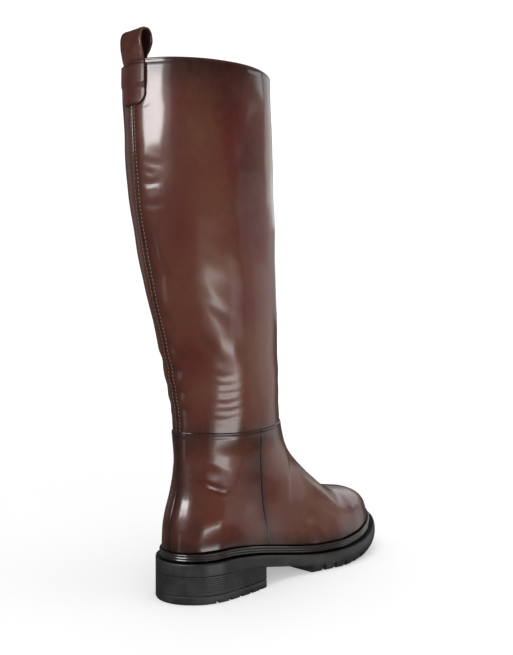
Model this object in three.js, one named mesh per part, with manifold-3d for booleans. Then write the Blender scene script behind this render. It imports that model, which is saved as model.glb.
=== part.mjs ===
// Knee-high boot for the right foot, standing on its sole.
//
// Millimetres. +Z is up, +Y runs towards the toe, and +X towards the wearer's right, which is the
// outer side of this boot. In the tables y starts at the back edge of the sole. The whole boot is
// then moved back, so that the origin is on the floor under the middle of the heel.
import * as THREE from 'three';
import { mergeVertices } from 'three/addons/utils/BufferGeometryUtils.js';
import Module from 'manifold-3d';

const wasm = await Module();
wasm.setup();

// ---- driving dimensions ---------------------------------------------------------------------

const SIDE = 1; // 1 is a right boot, -1 would mirror it into a left one
const GAP = 0.3; // between pieces that touch

const HEEL_SEAT_HEIGHT = 39.5; // lower edge of the upper, at the heel
const BALL_HEIGHT = 22.8; // the same at the ball of the foot
const TOE_SPRING = 12.5; // how far the sole rises from the ball to the toe
const SPRING_START = 182;
const COLLAR_HEIGHT = 425;
const ANKLE_SEAM_HEIGHT = 135; // at the back; the seam dips at the sides and rises to the front
const ANKLE_SEAM_SLOPE = 0.03;
const ANKLE_SEAM_DIP = 3;

const UPPER_WALL = 2.2; // leather and lining together
const SHAFT_WALL = 2.0;
const INSOLE_THICKNESS = 3;

const WELT_HEIGHT = 6.6;
const WELT_OUT = 2.5; // past the upper
const WELT_IN = -4.2;
const SOLE_OUT = 6.8; // past the upper
const TOE_SPREAD = 0.2; // welt and sole stand out more around the toe, by this share
const BACK_SPREAD = -0.3; // and less behind the heel
const SOLE_THICKNESS = 10;
const HEEL_BREAST = 86;
const HEEL_LIFT_HEIGHT = 6.6;
const TREAD_START = 144; // where the waist ends and the lugs begin
const LUG_DEPTH = 4;

const SOLE_RUBBER = { color: 0x2b2b2a, roughness: 0.62, metalness: 0 };
const WELT_LEATHER = { color: 0x2a211d, roughness: 0.4, metalness: 0 };
const BROWN_LEATHER = { color: 0x55291f, roughness: 0.3, metalness: 0 };
const DARK_LEATHER = { color: 0x3f2a22, roughness: 0.38, metalness: 0 };
const INSOLE_LEATHER = { color: 0x8a6a4a, roughness: 0.7, metalness: 0 };

// ---- tables ---------------------------------------------------------------------------------

// A table is a row of column names and then one row for each section.
function table(names, ...rows) {
  return Object.fromEntries(names.map((name, i) => [name, rows.map((row) => row[i])]));
}

// The upper's lower edge seen from above: centre line and half width at each y.
const LAST_OUTLINE = table(
  ['y', 'centre', 'half'],
  [7.5, 0, 0],
  [10, 0, 10.4],
  [15, 0, 17.4],
  [25, 0, 24.6],
  [43, 0, 28.9],
  [64, 0.5, 29],
  [90, 1.5, 26.3],
  [114, 2, 25.3],
  [140, 1.5, 29.3],
  [164, 0, 36.7],
  [186, -2, 41.7],
  [208, -5, 42.6],
  [228, -8, 39.7],
  [245, -11, 33.4],
  [258, -13.5, 24.3],
  [266, -15, 14.5],
  [270, -16, 0],
);

// The boot seen from the side: back line, front line and half width at each height.
const PROFILE = table(
  ['z', 'back', 'front', 'half'],
  [36, 7.5, 270, 30.5],
  [45, 7.7, 267.5, 31],
  [52, 8, 258, 31.2],
  [58, 8.3, 240, 31.4],
  [62, 8.8, 218, 31.5],
  [66, 9.5, 200, 31.5],
  [74, 11.5, 184.5, 31.6],
  [82, 13.7, 173.5, 31.8],
  [91, 15.5, 162, 32],
  [101, 16.7, 150, 32.2],
  [113, 17.3, 139, 32.6],
  [125, 17.2, 131.5, 33.6],
  [139, 17, 126.5, 34.9],
  [170, 12.4, 123.5, 38.3],
  [205, 4, 120.8, 41.5],
  [245, -7.8, 117.4, 44.9],
  [285, -17.4, 114.2, 48],
  [325, -24.8, 110.8, 50.9],
  [365, -28.1, 107.5, 52.7],
  [400, -29.4, 104.6, 53.9],
  [425, -29, 102.8, 54.8],
);

// Where the foot's section turns into the leg's.
const FOOT_TO_LEG = { low: 50, high: 135 };
const FOOT_ARCH = 2.3; // higher is squarer over the toes
const BACK_POINT = 0.59; // 0.5 is an ellipse, more is pointed at the back seam
const FRONT_ROUND = 0.5;
const WIDEST_SHIFT = 0.04; // moves the leg's widest place forward

// ---- curves through the tables ---------------------------------------------------------------

const clamp01 = (t) => Math.min(1, Math.max(0, t));
const lerp = (a, b, t) => a + (b - a) * t;
const ease = (t) => clamp01(t) ** 2 * (3 - 2 * clamp01(t));

// A smooth curve through the points that never overshoots them.
function curve(xs, ys) {
  const last = xs.length - 1;
  const run = xs.slice(1).map((x, i) => x - xs[i]);
  const rise = run.map((h, i) => (ys[i + 1] - ys[i]) / h);
  const slope = xs.map((_, i) => {
    if (i === 0) return rise[0];
    if (i === last) return rise[last - 1];
    if (rise[i - 1] * rise[i] <= 0) return 0;
    const before = 2 * run[i] + run[i - 1];
    const after = run[i] + 2 * run[i - 1];
    return (before + after) / (before / rise[i - 1] + after / rise[i]);
  });
  return (x) => {
    if (x <= xs[0]) return ys[0] + slope[0] * (x - xs[0]);
    if (x >= xs[last]) return ys[last] + slope[last] * (x - xs[last]);
    const i = Math.max(0, xs.findIndex((v) => v > x) - 1);
    const h = run[i];
    const t = (x - xs[i]) / h;
    return (
      (1 + 2 * t) * (1 - t) ** 2 * ys[i] + t * (1 - t) ** 2 * h * slope[i]
      + t * t * (3 - 2 * t) * ys[i + 1] + t * t * (t - 1) * h * slope[i + 1]
    );
  };
}

const LAST_START = LAST_OUTLINE.y[0];
const LAST_END = LAST_OUTLINE.y.at(-1);
const lastCentre = curve(LAST_OUTLINE.y, LAST_OUTLINE.centre);
const lastHalfSquared = curve(LAST_OUTLINE.y, LAST_OUTLINE.half.map((w) => w * w));
const backLine = curve(PROFILE.z, PROFILE.back);
const frontLine = curve(PROFILE.z, PROFILE.front);
const legHalf = curve(PROFILE.z, PROFILE.half);

// How far the underside of the forepart has risen off the floor.
function toeSpring(y) {
  return TOE_SPRING * Math.max(0, (y - SPRING_START) / (LAST_END - SPRING_START)) ** 1.6;
}

// Height of the upper's lower edge, from the heel seat down to the ball and up to the toe.
function featherHeight(y) {
  return lerp(HEEL_SEAT_HEIGHT, BALL_HEIGHT, ease((y - 41) / 120)) + toeSpring(y);
}

const soleTop = (y) => featherHeight(y) - WELT_HEIGHT - GAP;
const soleUnderside = (y) => soleTop(y) - SOLE_THICKNESS;

function ankleSeam(y) {
  const dip = ANKLE_SEAM_DIP * Math.sin(Math.PI * clamp01((y - 17) / 110));
  return ANKLE_SEAM_HEIGHT + ANKLE_SEAM_SLOPE * y - dip;
}

// Height of the vamp's and instep's ridge at y: the front line read the other way.
function ridgeHeight(y) {
  let low = PROFILE.z[0];
  let high = COLLAR_HEIGHT;
  for (let i = 0; i < 40; i += 1) {
    const middle = (low + high) / 2;
    if (frontLine(middle) > y) low = middle;
    else high = middle;
  }
  return low;
}

// ---- the form of the last and leg -------------------------------------------------------------

// Square of the half width at (y, z); below zero the point is in front of or behind the boot.
function halfSquared(y, z) {
  const back = backLine(z);
  const front = frontLine(z);
  if (y < back || y > front) return -1;
  const shift = (back - LAST_START) * clamp01(1 - (y - back) / 80);
  const onLast = y - shift;
  if (onLast <= LAST_START || onLast >= LAST_END) return -1;
  const low = featherHeight(y);
  const rise = Math.max(0, (z - low) / (ridgeHeight(y) - low));
  const foot = lastHalfSquared(onLast) * (1 - rise ** FOOT_ARCH);
  const along = (y - back) / (front - back);
  const shifted = along - WIDEST_SHIFT * Math.sin(Math.PI * along);
  const power = lerp(2 * BACK_POINT, 2 * FRONT_ROUND, ease(along));
  const leg = legHalf(z) ** 2 * clamp01(4 * shifted * (1 - shifted)) ** power;
  return lerp(foot, leg, ease((z - FOOT_TO_LEG.low) / (FOOT_TO_LEG.high - FOOT_TO_LEG.low)));
}

const centreLine = (y, z) => (1 - clamp01((z - 40) / 90)) * lastCentre(y);

// One closed loop around the boot, cut by the surface z = heightAt(y). It starts at the back seam
// and runs along the outer side to the front, then back along the inner side.
function ring(heightAt, steps) {
  const inside = (y) => halfSquared(y, heightAt(y)) > 0;
  const edge = (outer, inner) => {
    let [out, into] = [outer, inner];
    for (let i = 0; i < 30; i += 1) {
      const middle = (out + into) / 2;
      if (inside(middle)) into = middle;
      else out = middle;
    }
    return into;
  };
  let back = -45;
  while (!inside(back)) back += 0.5;
  let front = LAST_END + 1;
  while (!inside(front)) front -= 0.5;
  back = edge(back - 0.5, back);
  front = edge(front + 0.5, front);
  const points = [];
  for (let i = 0; i < 2 * steps; i += 1) {
    const y = lerp(back, front, (1 - Math.cos((Math.PI * i) / steps)) / 2);
    const z = heightAt(y);
    const half = i % steps === 0 ? 0 : Math.sqrt(Math.max(0, halfSquared(y, z)));
    const side = i < steps ? 1 : -1;
    points.push(new THREE.Vector3(SIDE * (centreLine(y, z) + side * half), y, z));
  }
  return points;
}

// Which way the leather faces at one point of a stack of rings.
function outward(rings, r, i) {
  const count = rings[r].length;
  const along = rings[r][(i + 1) % count].clone().sub(rings[r][(i + count - 1) % count]);
  const upper = rings[Math.min(r + 1, rings.length - 1)][i];
  const lower = rings[Math.max(r - 1, 0)][i];
  const normal = along.cross(upper.clone().sub(lower));
  if (r === 0 || r === rings.length - 1) normal.z = 0;
  return normal.normalize();
}

// Every point of a stack of rings moved outwards by `distance`, its rims kept at their height.
function offsetRings(rings, distance) {
  return rings.map((loop, r) => loop.map(
    (point, i) => point.clone().addScaledVector(outward(rings, r, i), distance),
  ));
}

// ---- mesh building ----------------------------------------------------------------------------

// Joins vertices that coincide and drops the triangles that this flattens.
function weld(positions, faces) {
  const loose = new THREE.BufferGeometry();
  loose.setAttribute('position', new THREE.Float32BufferAttribute(positions.flat(), 3));
  loose.setIndex(faces.flat());
  const welded = mergeVertices(loose, 1e-3);
  const old = Array.from(welded.index.array);
  const kept = [];
  for (let i = 0; i < old.length; i += 3) {
    const [a, b, c] = old.slice(i, i + 3);
    if (a !== b && b !== c && c !== a) kept.push(a, b, c);
  }
  welded.setIndex(kept);
  return welded;
}

// A closed tube from a list of loops with the same number of points, closed end to end or capped.
function loft(loops, closed) {
  const count = loops[0].length;
  const positions = loops.flat().map((p) => p.toArray());
  const faces = [];
  const rows = closed ? loops.length : loops.length - 1;
  for (let r = 0; r < rows; r += 1) {
    for (let i = 0; i < count; i += 1) {
      const a = r * count + i;
      const b = r * count + ((i + 1) % count);
      const c = ((r + 1) % loops.length) * count + ((i + 1) % count);
      const d = ((r + 1) % loops.length) * count + i;
      faces.push([a, b, c], [a, c, d]);
    }
  }
  if (!closed) {
    const last = (loops.length - 1) * count;
    for (let i = 1; i < count - 1; i += 1) {
      faces.push([0, i + 1, i], [last, last + i, last + i + 1]);
    }
  }
  return weld(positions, faces);
}

// A hollow wall: up the outside of the rings and down the inside.
function hollow(rings, wall) {
  const lining = offsetRings(rings, -wall);
  return loft([...rings, ...lining.reverse()], true);
}

const toSolid = (geometry) => {
  const plain = new THREE.BufferGeometry();
  plain.setAttribute('position', geometry.getAttribute('position'));
  plain.setIndex(geometry.index ?? [...Array(geometry.getAttribute('position').count).keys()]);
  const merged = mergeVertices(plain, 1e-3);
  return new wasm.Manifold(new wasm.Mesh({
    numProp: 3,
    vertProperties: new Float32Array(merged.getAttribute('position').array),
    triVerts: new Uint32Array(merged.index.array),
  }));
};

const toGeometry = (solid) => {
  const mesh = solid.getMesh();
  const geometry = new THREE.BufferGeometry();
  geometry.setAttribute('position', new THREE.BufferAttribute(mesh.vertProperties, 3));
  geometry.setIndex(new THREE.BufferAttribute(mesh.triVerts, 1));
  return geometry;
};

// ---- outlines seen from above --------------------------------------------------------------------

// The last's outline moved outwards by `out`: where it starts and ends, and its two sides at y.
function outlineAt(out) {
  const count = 400;
  const base = Array.from({ length: 2 * count }, (_, i) => {
    const y = lerp(LAST_START, LAST_END, (1 - Math.cos((Math.PI * i) / count)) / 2);
    const half = i % count === 0 ? 0 : Math.sqrt(Math.max(0, lastHalfSquared(y)));
    return [lastCentre(y) + (i < count ? half : -half), y];
  });
  const moved = base.map((point, i) => {
    const before = base[(i + 2 * count - 1) % (2 * count)];
    const after = base[(i + 1) % (2 * count)];
    const length = Math.hypot(after[0] - before[0], after[1] - before[1]);
    const normal = [(after[1] - before[1]) / length, (before[0] - after[0]) / length];
    const toe = TOE_SPREAD * ease((point[1] - 150) / 70);
    const heelBack = BACK_SPREAD * (1 - ease((point[1] - LAST_START) / 25));
    const spread = out > 0 ? 1 + toe + heelBack : 1;
    return [point[0] + out * spread * normal[0], point[1] + out * spread * normal[1]];
  });
  const highest = (better) => moved.reduce((best, p, i) => (better(p, moved[best]) ? i : best), 0);
  const back = highest((p, best) => p[1] < best[1]);
  const front = highest((p, best) => p[1] > best[1]);
  const walk = (from, to, step) => {
    const side = [moved[from]];
    for (let i = from; i !== to;) {
      i = (i + step + moved.length) % moved.length;
      side.push(moved[i]);
    }
    return side;
  };
  const outer = walk(back, front, 1);
  const inner = walk(back, front, -1);
  const xAt = (side, y) => {
    const past = side.findIndex((p) => p[1] > y);
    const i = past < 0 ? side.length - 1 : Math.max(1, past);
    const [x0, y0] = side[i - 1];
    const [x1, y1] = side[i];
    return lerp(x0, x1, clamp01((y - y0) / (y1 - y0)));
  };
  return {
    start: outer[0][1],
    end: outer.at(-1)[1],
    sides: (y) => [xAt(outer, y), xAt(inner, y)],
  };
}

const SOLE_OUTLINE = outlineAt(SOLE_OUT);

// A slab with that outline between y = from and y = to, its top and underside given along y.
function slab({ out, from, to, top, bottom, steps, stops = [] }) {
  const outline = outlineAt(out);
  const start = Math.max(from ?? outline.start, outline.start);
  const end = Math.min(to ?? outline.end, outline.end);
  const startAngle = Math.acos(1 - (2 * (start - outline.start)) / (outline.end - outline.start));
  const endAngle = Math.acos(1 - (2 * (end - outline.start)) / (outline.end - outline.start));
  const ys = Array.from({ length: steps + 1 }, (_, i) => {
    const angle = lerp(startAngle, endAngle, i / steps);
    return lerp(outline.start, outline.end, (1 - Math.cos(angle)) / 2);
  });
  const stations = [...ys.filter((y) => stops.every((stop) => Math.abs(y - stop) > 1)), ...stops];
  const loops = stations.sort((a, b) => a - b).map((y) => {
    const [outer, inner] = outline.sides(y);
    const [high, low] = [top(y), bottom(y)];
    return [
      new THREE.Vector3(SIDE * outer, y, low),
      new THREE.Vector3(SIDE * inner, y, low),
      new THREE.Vector3(SIDE * inner, y, high),
      new THREE.Vector3(SIDE * outer, y, high),
    ];
  });
  return toSolid(loft(loops, false));
}

// A groove cut up into the tread, `depth` deep at (x, y) and turned by `turn` about the upright.
function groove({ x, y, length, width, turn, depth }) {
  const below = 20;
  const box = new THREE.BoxGeometry(length, width, depth + below);
  box.rotateZ(SIDE * turn);
  box.translate(SIDE * x, y, toeSpring(y) + (depth - below) / 2);
  return toSolid(box);
}

// The same at the edge of the sole, running `reach` inwards, square to the outline.
function notch({ y, side, width, reach, depth }) {
  const edge = (at) => SOLE_OUTLINE.sides(at)[side > 0 ? 0 : 1];
  const turn = Math.atan2(edge(y - 2) - edge(y + 2), 4);
  return groove({ x: edge(y), y, length: 2 * reach, width, turn, depth });
}

const cut = (solid, cutters) => cutters.reduce((rest, cutter) => rest.subtract(cutter), solid);

// ---- sole ----------------------------------------------------------------------------------------

const HEEL_NOTCHES = { first: 30, pitch: 12, count: 5, width: 3, reach: 7, depth: 2.6 };
const EDGE_NOTCHES = { first: 156, pitch: 12.5, count: 9, width: 3.6, reach: 13, depth: LUG_DEPTH };
const TREAD_RING = { from: 15, to: 19 }; // inwards from the sole's edge
const CHEVRONS = { first: 160, pitch: 13.5, count: 7, reach: 17, width: 3.4, turn: 0.35 };

// The notches along both edges of a tread.
function edgeNotches({ first, pitch, count, ...size }) {
  const ys = Array.from({ length: count }, (_, i) => first + i * pitch);
  return ys.flatMap((y) => [1, -1].map((side) => notch({ y, side, ...size })));
}

function outsole() {
  const stepEnd = TREAD_START + 1.5;
  const underside = (y) => {
    if (y <= TREAD_START) return soleUnderside(y);
    return y >= stepEnd ? toeSpring(y) : lerp(soleUnderside(y), 0, 0.5);
  };
  const unit = slab({
    out: SOLE_OUT, top: soleTop, bottom: underside, steps: 56, stops: [TREAD_START, stepEnd],
  });
  const plateau = slab({
    out: WELT_IN - GAP, top: featherHeight, bottom: (y) => soleTop(y) - 1, steps: 48,
  });
  const cutters = edgeNotches(EDGE_NOTCHES);
  for (let i = 0; i < CHEVRONS.count; i += 1) {
    const y = CHEVRONS.first + i * CHEVRONS.pitch;
    for (const side of [1, -1]) {
      cutters.push(groove({
        x: lastCentre(y) + (side * CHEVRONS.reach) / 2,
        y,
        length: CHEVRONS.reach + 1,
        width: CHEVRONS.width,
        turn: side * CHEVRONS.turn,
        depth: LUG_DEPTH,
      }));
    }
  }
  const within = (inwards, depth) => slab({
    out: SOLE_OUT - inwards,
    from: TREAD_START + inwards,
    top: (y) => depth + toeSpring(y),
    bottom: () => -5,
    steps: 30,
  });
  const { from, to } = TREAD_RING;
  cutters.push(within(from, LUG_DEPTH).subtract(within(to, LUG_DEPTH + 5)));
  return cut(unit.add(plateau), cutters);
}

const heel = () => slab({
  out: SOLE_OUT,
  to: HEEL_BREAST,
  top: (y) => soleUnderside(y) - GAP,
  bottom: () => HEEL_LIFT_HEIGHT + GAP,
  steps: 34,
});

function heelLift() {
  const lift = slab({
    out: SOLE_OUT, to: HEEL_BREAST, top: () => HEEL_LIFT_HEIGHT, bottom: () => 0, steps: 34,
  });
  return cut(lift, edgeNotches(HEEL_NOTCHES));
}

function welt() {
  const strip = slab({
    out: WELT_OUT,
    top: (y) => featherHeight(y) - GAP,
    bottom: (y) => soleTop(y) + GAP,
    steps: 48,
  });
  const opening = slab({
    out: WELT_IN,
    top: (y) => featherHeight(y) + 5,
    bottom: (y) => soleTop(y) - 5,
    steps: 48,
  });
  return strip.subtract(opening);
}

const insole = () => slab({
  out: -UPPER_WALL - 1.1,
  top: (y) => featherHeight(y) + GAP + INSOLE_THICKNESS,
  bottom: (y) => featherHeight(y) + GAP,
  steps: 36,
});

// ---- upper and shaft ---------------------------------------------------------------------------

// Rings from the sole to the ankle seam. Their front ends climb the ridge in even steps, from the
// toe over the vamp and up the instep.
function upperRings(rows, steps) {
  const riseAt = (y, z) => (z - featherHeight(y)) / (ankleSeam(y) - featherHeight(y));
  const ridge = [];
  for (let z = PROFILE.z[0]; riseAt(frontLine(z), z) < 1; z += 0.5) {
    ridge.push(new THREE.Vector3(0, frontLine(z), z));
  }
  const path = new THREE.CurvePath();
  for (let i = 1; i < ridge.length; i += 1) path.add(new THREE.LineCurve3(ridge[i - 1], ridge[i]));
  const rings = [];
  for (let r = 0; r <= rows; r += 1) {
    const point = path.getPointAt(r / rows);
    const rise = r === 0 ? 0 : Math.min(1, riseAt(point.y, point.z));
    const share = r === rows ? 1 : rise;
    rings.push(ring((y) => lerp(featherHeight(y), ankleSeam(y), share), steps));
  }
  return rings;
}

function shaftRings(rows, steps) {
  const low = (y) => ankleSeam(y) + GAP;
  return Array.from(
    { length: rows + 1 },
    (_, r) => ring((y) => lerp(low(y), COLLAR_HEIGHT, r / rows), steps),
  );
}

// ---- pull loop and its patch ---------------------------------------------------------------------

// The point on the leg's skin at height z, `across` millimetres round from the back seam towards
// the outer side, and `out` millimetres off the leather.
const skinCache = new Map();
function legPoint(across, z, out) {
  if (!skinCache.has(z)) skinCache.set(z, ring(() => z, 90));
  const loop = skinCache.get(z);
  const step = across < 0 ? -1 : 1;
  const at = (i) => loop[(i + loop.length) % loop.length];
  let left = Math.abs(across);
  let i = 0;
  while (at(i).distanceTo(at(i + step)) < left) {
    left -= at(i).distanceTo(at(i + step));
    i += step;
  }
  const along = at(i + step).clone().sub(at(i)).normalize();
  const point = at(i).clone().addScaledVector(along, left);
  const seam = across === 0;
  const normal = seam ? new THREE.Vector3(0, -1, 0) : new THREE.Vector3(along.y, -along.x, 0);
  return point.addScaledVector(normal, seam ? out : out * step);
}

// A sheet of leather between two grids of points, its outer face first.
function sheet(outer, inner) {
  const [rows, columns] = [outer.length, outer[0].length];
  const positions = [...outer.flat(), ...inner.flat()].map((p) => p.toArray());
  const at = (layer, r, c) => (layer * rows + r) * columns + c;
  const faces = [];
  const quad = (a, b, c, d) => faces.push([a, b, c], [a, c, d]);
  for (let r = 0; r < rows - 1; r += 1) {
    for (let c = 0; c < columns - 1; c += 1) {
      quad(at(0, r, c), at(0, r, c + 1), at(0, r + 1, c + 1), at(0, r + 1, c));
      quad(at(1, r, c), at(1, r + 1, c), at(1, r + 1, c + 1), at(1, r, c + 1));
    }
    const last = columns - 1;
    quad(at(0, r, 0), at(0, r + 1, 0), at(1, r + 1, 0), at(1, r, 0));
    quad(at(0, r + 1, last), at(0, r, last), at(1, r, last), at(1, r + 1, last));
  }
  for (let c = 0; c < columns - 1; c += 1) {
    const last = rows - 1;
    quad(at(0, 0, c + 1), at(0, 0, c), at(1, 0, c), at(1, 0, c + 1));
    quad(at(0, last, c), at(0, last, c + 1), at(1, last, c + 1), at(1, last, c));
  }
  return weld(positions, faces);
}

const STRAP_WIDTH = 24;
const STRAP_GAP = 0.4; // kept between the strap and the leg, because both are curved
const SKIVED = 0.8; // the strap's ends are pared thin
const END_OUT = STRAP_GAP + SKIVED / 2;
const END_IN = -SHAFT_WALL - STRAP_GAP - SKIVED / 2;

// The strap's middle, up the back, over the fold and down inside. `above` is measured from the
// collar, `out` from the leg's skin backwards, and `flat` straightens the strap across its width.
const LOOP_PATH = table(
  ['above', 'out', 'thick', 'flat'],
  [-16, END_OUT, SKIVED, 0],
  [-3.5, END_OUT, SKIVED, 0],
  [0, 1.4, 1.6, 0],
  [4, 1.7, 2.2, 0.2],
  [10, 2.3, 2.2, 0.7],
  [15, 2.2, 2.2, 1],
  [19.8, 1, 2.2, 1],
  [22.4, -1.8, 2.2, 1],
  [22.5, -5.2, 2.2, 1],
  [19.8, -8, 2.2, 1],
  [14, -9.2, 2.2, 1],
  [8, -7.8, 2.2, 0.7],
  [2, -4.6, 1.8, 0.2],
  [-4, -3.2, 1.2, 0],
  [-10, END_IN, SKIVED, 0],
  [-20, END_IN, SKIVED, 0],
);

function pullLoop() {
  const columns = [-1, -0.6, -0.2, 0.2, 0.6, 1].map((c) => (c * STRAP_WIDTH) / 2);
  const back = legPoint(0, COLLAR_HEIGHT, 0).y;
  const middle = LOOP_PATH.above.map((above, r) => columns.map((across) => {
    const z = COLLAR_HEIGHT + above;
    const curved = legPoint(across, Math.min(z, COLLAR_HEIGHT), LOOP_PATH.out[r]).setZ(z);
    const straight = new THREE.Vector3(SIDE * across, back - LOOP_PATH.out[r] + 1, z);
    return curved.lerp(straight, LOOP_PATH.flat[r]);
  }));
  const face = (side) => middle.map((row, r) => row.map((point, c) => {
    const before = middle[Math.max(0, r - 1)][c];
    const after = middle[Math.min(middle.length - 1, r + 1)][c];
    const along = after.clone().sub(before);
    const across = row[Math.min(c + 1, row.length - 1)].clone().sub(row[Math.max(0, c - 1)]);
    const normal = across.cross(along).normalize();
    return point.clone().addScaledVector(normal, (side * LOOP_PATH.thick[r]) / 2);
  }));
  return sheet(face(1), face(-1));
}

const PATCH = { half: 13.5, top: -3.5, length: 33, thickness: 1.4, corner: 9 };

// The patch lies on the leg and climbs over the strap's end near its top edge.
function backPatch() {
  const rows = 9;
  const columns = [-1, -0.75, -0.4, 0, 0.4, 0.75, 1];
  const face = (extra) => Array.from({ length: rows + 1 }, (_, r) => {
    const above = PATCH.top - PATCH.length * (1 - r / rows);
    const fromEnd = above - (PATCH.top - PATCH.length);
    const tuck = 1 - clamp01(fromEnd / PATCH.corner);
    const half = PATCH.half * (1 - 0.5 * tuck * tuck);
    const over = ease((above + 24) / 7) * (SKIVED + STRAP_GAP);
    return columns.map((c) => legPoint(c * half, COLLAR_HEIGHT + above, GAP + over + extra));
  });
  return sheet(face(PATCH.thickness), face(0));
}

// ---- the boot --------------------------------------------------------------------------------------

const boot = new THREE.Group();
boot.position.y = -HEEL_BREAST / 2;

function addPiece(name, geometry, finish) {
  const mesh = new THREE.Mesh(geometry, new THREE.MeshStandardMaterial(finish));
  mesh.name = name;
  boot.add(mesh);
}

addPiece('outsole', toGeometry(outsole()), SOLE_RUBBER);
addPiece('heel', toGeometry(heel()), SOLE_RUBBER);
addPiece('heel_lift', toGeometry(heelLift()), SOLE_RUBBER);
addPiece('welt', toGeometry(welt()), WELT_LEATHER);
addPiece('insole', toGeometry(insole()), INSOLE_LEATHER);
addPiece('upper', hollow(upperRings(24, 22), UPPER_WALL), BROWN_LEATHER);
addPiece('shaft', hollow(shaftRings(12, 20), SHAFT_WALL), BROWN_LEATHER);
addPiece('back_patch', backPatch(), DARK_LEATHER);
addPiece('pull_loop', pullLoop(), DARK_LEATHER);

export default boot;
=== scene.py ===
"""A right knee-high boot: smooth leather foot and shaft, pull loop, welt, lugged sole, block heel."""

import math

import bpy
import numpy as np
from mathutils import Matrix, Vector


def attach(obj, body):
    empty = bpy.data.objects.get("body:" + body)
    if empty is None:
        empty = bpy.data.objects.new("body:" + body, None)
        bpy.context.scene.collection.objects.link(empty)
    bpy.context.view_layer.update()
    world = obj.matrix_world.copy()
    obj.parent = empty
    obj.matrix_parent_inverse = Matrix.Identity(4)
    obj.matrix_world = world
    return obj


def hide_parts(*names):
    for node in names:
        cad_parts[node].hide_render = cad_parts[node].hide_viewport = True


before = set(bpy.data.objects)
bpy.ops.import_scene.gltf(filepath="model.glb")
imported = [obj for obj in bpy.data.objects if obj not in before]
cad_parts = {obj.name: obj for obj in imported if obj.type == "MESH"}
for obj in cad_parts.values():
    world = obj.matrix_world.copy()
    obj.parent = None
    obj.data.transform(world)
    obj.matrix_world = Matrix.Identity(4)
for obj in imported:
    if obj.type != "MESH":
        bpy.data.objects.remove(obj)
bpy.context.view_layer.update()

# ---- sizes in millimetres ---------------------------------------------------------------------
# x runs to the outer side, y forwards from behind the heel, z up from the floor.

MM = 0.001
HEEL_MIDDLE = 43.0  # the frame's own y = 0 lies at this y

GAP = 0.3  # between pieces that touch
HEEL_SEAT_HEIGHT = 39.5  # lower edge of the upper, at the heel
BALL_HEIGHT = 22.8  # the same at the ball of the foot
TOE_SPRING = 12.5  # how far the sole rises from the ball to the toe
SPRING_START = 182
COLLAR_HEIGHT = 425
WALL = 2.1  # leather and lining together
WELT_HEIGHT = 6.6
SOLE_OUT = 6.8  # past the upper
SOLE_THICKNESS = 10
HEEL_BREAST = 86
TREAD_START = 144  # where the waist ends and the lugs begin
LUG_DEPTH = 4
ANKLE_SEAM_HEIGHT = 135  # at the back; the seam dips at the sides and rises to the front
ANKLE_SEAM_SLOPE = 0.03
ANKLE_SEAM_DIP = 3
ANKLE_SEAM_SPAN = (17, 127)
SHANK = (41, 161)  # from the heel seat to the ball
HEEL_FADE = 80  # how far forwards the last follows the back line
SWING_FADE = (40, 130)  # between these heights the toe's swing is lost

# The last's outline seen from above: y, centre, half width.
LAST_OUTLINE = np.array([
    (7.5, 0, 0), (10, 0, 10.4), (15, 0, 17.4), (25, 0, 24.6), (43, 0, 28.9), (64, 0.5, 29),
    (90, 1.5, 26.3), (114, 2, 25.3), (140, 1.5, 29.3), (164, 0, 36.7), (186, -2, 41.7),
    (208, -5, 42.6), (228, -8, 39.7), (245, -11, 33.4), (258, -13.5, 24.3), (266, -15, 14.5),
    (270, -16, 0),
])
# The boot seen from the side: height, back line, front line, half width.
PROFILE = np.array([
    (36, 7.5, 270, 30.5), (45, 7.7, 267.5, 31), (52, 8, 258, 31.2), (58, 8.3, 240, 31.4),
    (62, 8.8, 218, 31.5), (66, 9.5, 200, 31.5), (74, 11.5, 184.5, 31.6), (82, 13.7, 173.5, 31.8),
    (91, 15.5, 162, 32), (101, 16.7, 150, 32.2), (113, 17.3, 139, 32.6), (125, 17.2, 131.5, 33.6),
    (139, 17, 126.5, 34.9), (170, 12.4, 123.5, 38.3), (205, 4, 120.8, 41.5),
    (245, -7.8, 117.4, 44.9), (285, -17.4, 114.2, 48), (325, -24.8, 110.8, 50.9),
    (365, -28.1, 107.5, 52.7), (400, -29.4, 104.6, 53.9), (425, -29, 102.8, 54.8),
])
FOOT_TO_LEG = (50, 135)  # between these heights the foot's form turns into the leg's
FOOT_ARCH = 2.3  # higher is squarer over the toes
BACK_POINT = 0.59  # 0.5 is an ellipse, more is pointed at the back seam
FRONT_ROUND = 0.5
WIDEST_SHIFT = 0.04  # moves the leg's widest place forward

# ---- curves and the form of last and leg ------------------------------------------------------


def mix(a, b, t):
    return a + (b - a) * t


def ease(t):
    t = np.clip(t, 0, 1)
    return t * t * (3 - 2 * t)


def eased(value, span):
    """0 before the span, 1 after it, and a smooth rise between."""
    start, end = span
    return ease((value - start) / (end - start))


def bell(distance, width):
    return np.exp(-((distance / width) ** 2))


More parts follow.
